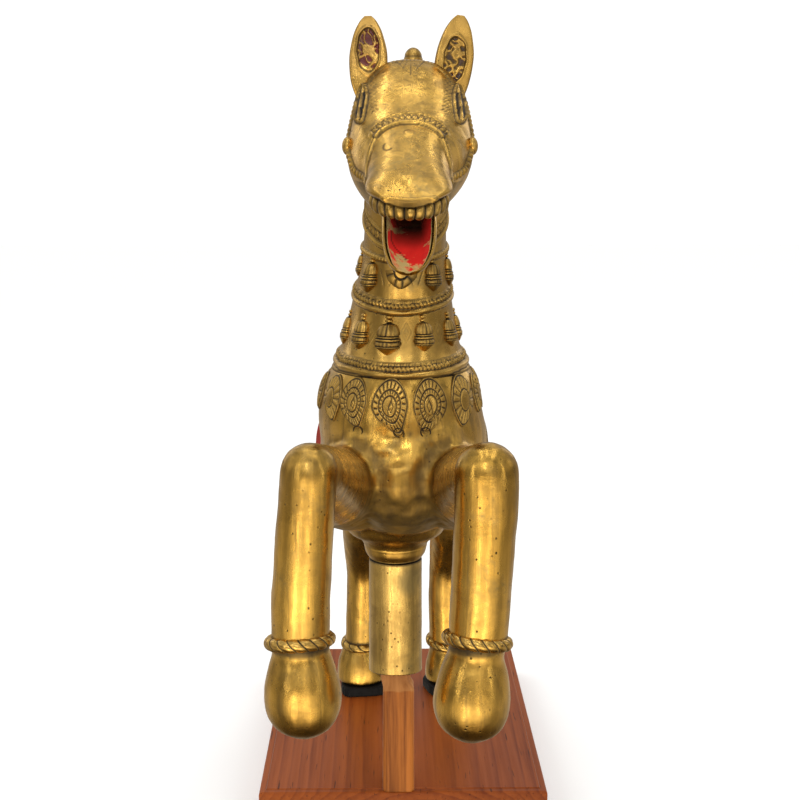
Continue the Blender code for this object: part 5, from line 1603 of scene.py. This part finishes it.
def make_teeth():
    """The row of upper teeth, and the gum behind them in painted shade with a little red paint."""
    count = TOOTH_COUNT * 24
    sides = 24
    share = np.linspace(0, 1, count)
    angle = (share * 2 - 1) * math.radians(86)
    path = place(TEETH_X + TEETH_HALF_WIDTH * np.sin(angle), TEETH_BACK - 0.0270 * np.cos(angle),
                 TEETH_UP + 0.010 * (1 - np.cos(angle)))
    tooth = np.abs(np.sin(share * TOOTH_COUNT * math.pi)) ** 0.65
    turns = full_turn(sides)[None, :]
    upward = np.array([0.0, 0.0, 1.0])
    out = unit(np.cross(unit(np.gradient(path, axis=0)), upward))
    size = (0.0022 + 0.0020 * tooth)[:, None, None]
    tall = (0.0048 + 0.0024 * tooth)[:, None, None]
    rings = path[:, None] + out[:, None] * np.cos(turns)[..., None] * size + upward * np.sin(turns)[..., None] * tall
    # painted shade in the gaps between the teeth and along their tops
    dark = np.maximum((1 - tooth)[:, None], soft(np.sin(turns), 0.55, 0.95) * 0.9)
    items = [sheet("teeth", rings, caps=(True, True), marks={"dark": dark * 1.3})]
    bead = ball_rings(place(0.0024, -0.2335, 0.6155), (0.0038, 0.0030, 0.0052), 24, 16)
    items.append(sheet("teeth", bead, caps=(True, True), marks={"dark": np.zeros(bead.shape[:2])}))
    brass_piece(merged(items, "upper_teeth"), BRASS_LIGHT)
    turns = full_turn(64)
    gum = []
    for height, inset in ((0.6165, 0.006), (0.6168, 0.003), (0.6190, 0.0), (0.6300, 0.0)):
        reach = np.where(np.cos(turns) > 0, 0.0250 - inset, 0.060)
        gum.append(place(TEETH_X + (TEETH_HALF_WIDTH - inset) * np.sin(turns), TEETH_BACK - reach * np.cos(turns),
                         height))
    # the gum is in full painted shade
    item = sheet("gum", np.array(gum), caps=(True, True),
                 marks={"dark": np.ones((4, 64)), "paint": np.full((4, 64), 0.3)})
    brass_piece(item, RED_MOUTH)


# Rope anklets

def turned(about_x, about_y):
    """A turn about X followed by one about Y."""
    cx = math.cos(about_x)
    sx = math.sin(about_x)
    cy = math.cos(about_y)
    sy = math.sin(about_y)
    return np.array(((cy, 0, sy), (0, 1, 0), (-sy, 0, cy))) @ np.array(((1, 0, 0), (0, cx, -sx), (0, sx, cx)))


def anklet_rings(centre, half_width, tilt, strands, fine, sides):
    """Rings of a rope whose strands wind round it, and the painted shade between the strands."""
    phase = np.arange(strands * fine)[:, None] / fine
    around = (full_turn(sides) - math.pi)[None, :]
    strand = np.abs(np.sin(phase * math.pi)) ** 0.55
    size = ANKLET_RADIUS * (0.86 + 0.16 * strand)
    angle = 2 * math.pi * (phase - 0.46 * np.sin(around)) / strands
    reach = half_width + size * np.cos(around)
    local = np.stack((np.cos(angle) * reach, np.sin(angle) * reach, size * np.sin(around)), axis=-1)
    return np.asarray(centre) + local @ tilt.T, (1 - soft(strand, 0.30, 0.62)) * np.ones((1, sides))


def make_anklets():
    for side, outward in SIDES.items():
        lean = -0.07 if side == "left" else 0.12
        hind = place(HIND_LEG_X[side] + outward * 0.001, 0.286, PAD_THICKNESS + HIND_ANKLET_UP)
        for name, centre, half_width, front, strands, fine, sides in (
            ("fore", place(*FORE_ANKLET[side]), 0.0236, -0.16, ANKLET_STRANDS, 19, 22),
            ("hind", hind, 0.0222, 0.10, ANKLET_STRANDS - 6, 15, 20),
        ):
            rings, dark = anklet_rings(centre, half_width, turned(front, lean), strands, fine, sides)
            item = sheet(f"anklet_{name}_{side}", loop(rings), waves(loop(rings), 0.02, 81) * 0.00015,
                         marks={"dark": loop(dark)})
            brass_piece(item, BRASS_LIGHT)


# Mane, tail and harness

def make_mane():
    """Two rows of overlapping locks down the crest of the neck."""
    items = []
    locks = 13
    turns = full_turn(36)[None, :]
    level = np.linspace(0, 1, 27)[:, None]
    for index in range(locks):
        top = crest(np.array(0.04 + 0.93 * index / (locks - 1)))
        strand = np.abs(np.sin(turns * 4.5 + level * 2.4 + index))
        for lean in (-1, 1):
            centre = top + np.array([lean * 0.0045, 0.0, -0.004])
            rings = ball_rings(centre, (0.0085, 0.0125, 0.0225), 36, 26, turned(-0.45, lean * 0.35))
            # painted shade between the strands
            items.append(sheet("lock", rings, (strand - 0.6) * 0.0011, caps=(True, True),
                               marks={"dark": (1 - strand) ** 2}))
    brass_piece(merged(items, "mane"))


def make_tail():
    rings = limb_rings(TAIL, 84, 16)
    level = np.linspace(0, 1, len(rings))[:, None]
    strand = np.abs(np.sin(full_turn(84)[None, :] * 7 + 2.6 * np.sin(level * 7)))
    fade = soft(level, 0.12, 0.30)
    # painted shade between the strands
    brass_piece(sheet("tail", rings, (strand - 0.7) * 0.0013 * fade, caps=(True, True),
                      marks={"dark": (1 - strand) ** 2 * fade}))


def pad_grid(rows, columns):
    """Shares along and across a pad, each from -1 to 1."""
    along = np.linspace(-1, 1, rows)[:, None] + np.zeros((1, columns))
    turn = np.linspace(-1, 1, columns)[None, :] + np.zeros((rows, 1))
    return along, turn


def barrel_pad(along, turn, start, end, half_angle, raised):
    """A skin over the barrel's back that dips under the body along its edges."""
    height = raised.copy()
    height[0] = height[-1] = -0.010
    height[:, 0] = height[:, -1] = -0.010
    back = start + (along + 1) / 2 * (end - start)
    points = barrel(back, turn * half_angle, height)
    points[0, :, 1] = points[1, :, 1]
    points[-1, :, 1] = points[-2, :, 1]
    return points


def make_cloth():
    """The saddle cloth, with a painted rim, a scalloped border and engraved diamonds."""
    along, turn = pad_grid(116, 256)
    side_rim = (1 - np.abs(turn)) * 1.8
    x = np.minimum(1 - np.abs(along), side_rim) * 0.080
    u = np.where(1 - np.abs(along) < side_rim, turn * 0.145, along * 0.080)
    scallop = groove(np.abs((u / 0.0090) % 1 - 0.5) - 0.30 - (x - 0.009) / 0.020, 0.14)
    scallop = scallop * (np.abs(x - 0.0093) < 0.0038)
    raised = 0.0052 + bump(x - 0.0030, 0.0030) * 0.0012 + bump(x - 0.0150, 0.0014) * 0.0011 - scallop * 0.0008
    points = barrel_pad(along, turn, 0.030, 0.190, math.radians(103), raised)
    diamonds = np.abs(np.sin(turn * 26)) + np.abs(np.sin((along + 1) * 14))
    lines = groove(diamonds - 0.30, 0.18) * (x > 0.018)
    # painted shade in the scallops, the border grooves and the engraved diamonds
    dark = np.maximum.reduce((scallop * 0.9, groove(x - 0.0062, 0.0010), groove(x - 0.0170, 0.0010) * 0.8,
                              lines * 0.7))
    paint = (1 - soft(x, 0.0030, 0.0055)) * (1 - 0.9 * (points[..., 0] > 0) * (along < -0.90))
    item = sheet("saddle_cloth", points, closed=False, outward=points - place(0, 0.11, 0.33),
                 marks={"dark": dark, "paint": paint})
    brass_piece(item, RED_EDGE)


def make_seat():
    """The dished seat on the cloth."""
    along, turn = pad_grid(90, 120)
    edge = np.minimum(1 - np.abs(along), 1 - np.abs(turn))
    raised = 0.0082 + 0.017 * np.abs(along) ** 2.2 * (1 - turn**2) + 0.004 * (1 - turn**2)
    raised = raised + groove(edge - 0.08, 0.05) * 0.0014
    points = barrel_pad(along, turn, 0.050, 0.170, math.radians(46), raised)
    hatch = groove((turn * 9) % 1 - 0.5, 0.16) * (edge > 0.22) * (np.abs(along) < 0.75)
    # painted shade in the edge groove and the hatching
    brass_piece(sheet("saddle_seat", points, closed=False, outward=points - place(0, 0.11, 0.33),
                      marks={"dark": np.maximum(groove(edge - 0.145, 0.03), hatch * 0.6)}))


def make_girth():
    sides = 260
    turns = full_turn(sides) - math.pi
    rings = []
    dark = []
    for share in np.linspace(0, 1, 26):
        rise = 0.0024 if 0.02 < share < 0.98 else -0.004
        bead = 0.0009 * np.abs(np.cos(turns * 36)) * math.exp(-((share - 0.5) / 0.16) ** 2)
        rings.append(barrel(np.full(sides, 0.1000 + 0.018 * share), turns, rise + bead))
        # painted shade along two lines running round the band
        dark.append(np.full(sides, 0.8 if abs(abs(share - 0.5) - 0.27) < 0.04 else 0.0))
    rings = np.array(rings)
    brass_piece(sheet("girth", rings, marks={"dark": np.array(dark)}, outward=rings - place(0, 0.109, 0.355)))


def make_crupper():
    steps = 140
    sides = 18
    path = barrel(np.linspace(0.186, 0.300, steps), np.zeros(steps), 0.0006)
    rings = tube_rings(path, 0.0050, sides, np.array([0, 0, 1.0]), flatten=0.62)
    twist = 0.5 + 0.5 * np.cos(np.arange(steps)[:, None] * 2 * math.pi / 10 + full_turn(sides)[None, :] * 2)
    # painted shade between the twists
    brass_piece(sheet("crupper", rings, (twist - 0.5) * 0.0012, caps=(True, True),
                      marks={"dark": (1 - twist) ** 3}))


def make_stub():
    """The turned lower end of the stub, above the tube, that runs into the body's flare."""
    turns = full_turn(100)
    rows = [(-0.006, 0.0002)] + [row for row in STUB_ROWS if row[1] < 0.012] + [(0.0052, 0.0150), (0.0030, 0.0220)]
    rings = np.array([place(TUBE_X + (TUBE_RADIUS + wide) * np.cos(turns),
                            POST_BACK + (TUBE_RADIUS + wide) * np.sin(turns), STUB_UP + rise)
                      for wide, rise in smooth_rows(rows, 7)])
    # painted shade at the foot, where the stub meets the tube
    dark = 1 - soft(rings[..., 2] - BOARD_TOP, STUB_UP + 0.0004, STUB_UP + 0.0020)
    brass_piece(sheet("stub", rings, waves(rings, 0.03, 91) * 0.0002, caps=(True, True), marks={"dark": dark}))


# Camera, light and floor

def make_camera():
    data = bpy.data.cameras.new("camera")
    data.lens = 63
    data.sensor_width = 36
    camera = bpy.data.objects.new("camera", data)
    camera.location = (-0.019049, BOARD_FRONT - 1.381961, BOARD_TOP + 0.665953)
    camera.rotation_euler = (math.radians(90 - 10.1247), 0, math.radians(-0.6446))
    bpy.context.collection.objects.link(camera)
    bpy.context.scene.camera = camera


def area_light(name, spot, target, size, energy, colour=(1, 1, 1)):
    data = bpy.data.lights.new(name, "AREA")
    data.shape = "RECTANGLE"
    data.size = size[0]
    data.size_y = size[1]
    data.energy = energy
    data.color = colour
    light = bpy.data.objects.new(name, data)
    light.location = spot
    if target is not None:
        light.rotation_euler = (Vector(target) - Vector(spot)).to_track_quat("-Z", "Y").to_euler()
    bpy.context.collection.objects.link(light)


def make_floor():
    mesh = bpy.data.meshes.new("floor")
    mesh.from_pydata([(-9, -9, 0), (9, -9, 0), (9, 9, 0), (-9, 9, 0)], [], [(0, 1, 2, 3)])
    floor = bpy.data.objects.new("floor", mesh)
    bpy.context.collection.objects.link(floor)
    pale = bpy.data.materials.new("floor_pale")
    pale.use_nodes = True
    shader = pale.node_tree.nodes["Principled BSDF"]
    shader.inputs["Base Color"].default_value = (0.92, 0.92, 0.91, 1)
    shader.inputs["Roughness"].default_value = 0.9
    floor.data.materials.append(pale)
    floor.visible_glossy = False


def mix_node(make, kind, share, first, second):
    node = make.tree.nodes.new("ShaderNodeMix")
    node.data_type = kind
    for socket, value in (("Factor", share), ("A", first), ("B", second)):
        make.put(node.inputs[socket], value)
    return node.outputs["Result"]


def make_world():
    """An even white light, and a room with windows that only reflections see."""
    world = bpy.data.worlds.new("studio")
    world.use_nodes = True
    make = Nodes(world.node_tree)
    nodes = make.tree.nodes
    sky = nodes.new("ShaderNodeTexCoord").outputs["Generated"]
    x, y, z = make.axes(sky)
    graded = make.ramp(
        make.span(z, -1.0, 1.0),
        (0.0, (0.08, 0.055, 0.035)), (0.12, (0.18, 0.14, 0.095)), (0.24, (0.62, 0.56, 0.47)),
        (0.34, (0.76, 0.70, 0.60)), (0.43, (0.60, 0.55, 0.47)), (0.50, (0.26, 0.23, 0.19)),
        (0.58, (0.56, 0.53, 0.48)), (0.70, (0.84, 0.82, 0.79)), (0.86, (0.82, 0.82, 0.81)),
        (1.0, (0.76, 0.76, 0.76)))
    windows = make.ramp(
        make.span(x, -1.0, 1.0),
        (0.0, 0.17), (0.22, 0.20), (0.30, 0.34), (0.335, 1.0), (0.375, 0.34), (0.50, 0.30), (0.58, 0.26),
        (0.625, 0.80), (0.66, 0.26), (1.0, 0.17))
    clouds = nodes.new("ShaderNodeTexNoise")
    clouds.inputs["Scale"].default_value = 2.6
    clouds.inputs["Detail"].default_value = 1.0
    make.put(clouds.inputs["Vector"], sky)
    patches = make.span(clouds.outputs["Fac"], 0.36, 0.64, 0.30, 1.45)
    facing = make.span(y, -0.25, -0.85, 0.75, 2.9, "SMOOTHSTEP")
    low = make.span(z, 0.05, -0.12, kind="SMOOTHSTEP")
    lit = mix_node(make, "FLOAT", low, patches, facing)
    striped = mix_node(make, "FLOAT", make.span(y, 0.0, -0.35), 0.30, windows)
    strength = make.math("MULTIPLY", make.math("MULTIPLY", lit, striped), 3.3)
    room = nodes.new("ShaderNodeVectorMath")
    room.operation = "SCALE"
    make.put(room.inputs[0], graded)
    make.put(room.inputs["Scale"], strength)
    glossy = nodes.new("ShaderNodeLightPath").outputs["Is Glossy Ray"]
    seen = mix_node(make, "RGBA", glossy, (1.12, 1.12, 1.12, 1), room.outputs["Vector"])
    background = nodes["Background"]
    make.put(background.inputs["Color"], seen)
    background.inputs["Strength"].default_value = 1.0
    bpy.context.scene.world = world
    bpy.context.scene.view_settings.view_transform = "Standard"


def make_lights():
    target = (0, -0.2, 0.42)
    warm = (1.0, 0.97, 0.92)
    area_light("left_strip", (-1.55, -2.05, 1.05), target, (0.20, 1.7), 4.0, warm)
    area_light("front_strip", (-0.28, -2.6, 1.75), target, (0.16, 0.80), 5.0)
    area_light("right_strip", (1.75, -1.65, 0.95), target, (0.20, 1.5), 2.6, warm)
    area_light("ceiling_left", (-0.42, -0.3, 2.3), None, (0.10, 1.9), 3.2)
    area_light("ceiling_middle", (0.06, -0.5, 2.4), None, (0.10, 1.5), 2.5)
    area_light("ceiling_right", (0.62, -0.3, 2.3), None, (0.10, 1.9), 2.8)
    area_light("back_left", (-1.7, 1.3, 1.3), target, (0.4, 1.5), 2.6)
    area_light("back_right", (1.5, 1.6, 1.5), target, (0.5, 1.5), 3.0)


make_camera()
make_floor()
make_world()
make_lights()
dress_board()
make_post()
make_tube()
make_pads()
make_body()
make_neck()
make_bells()
make_pendant()
make_medallions()
make_head()
make_head_knobs()
make_eyes()
make_ears()
make_jaw()
make_teeth()
make_anklets()
make_mane()
make_tail()
make_cloth()
make_seat()
make_girth()
make_crupper()
make_stub()
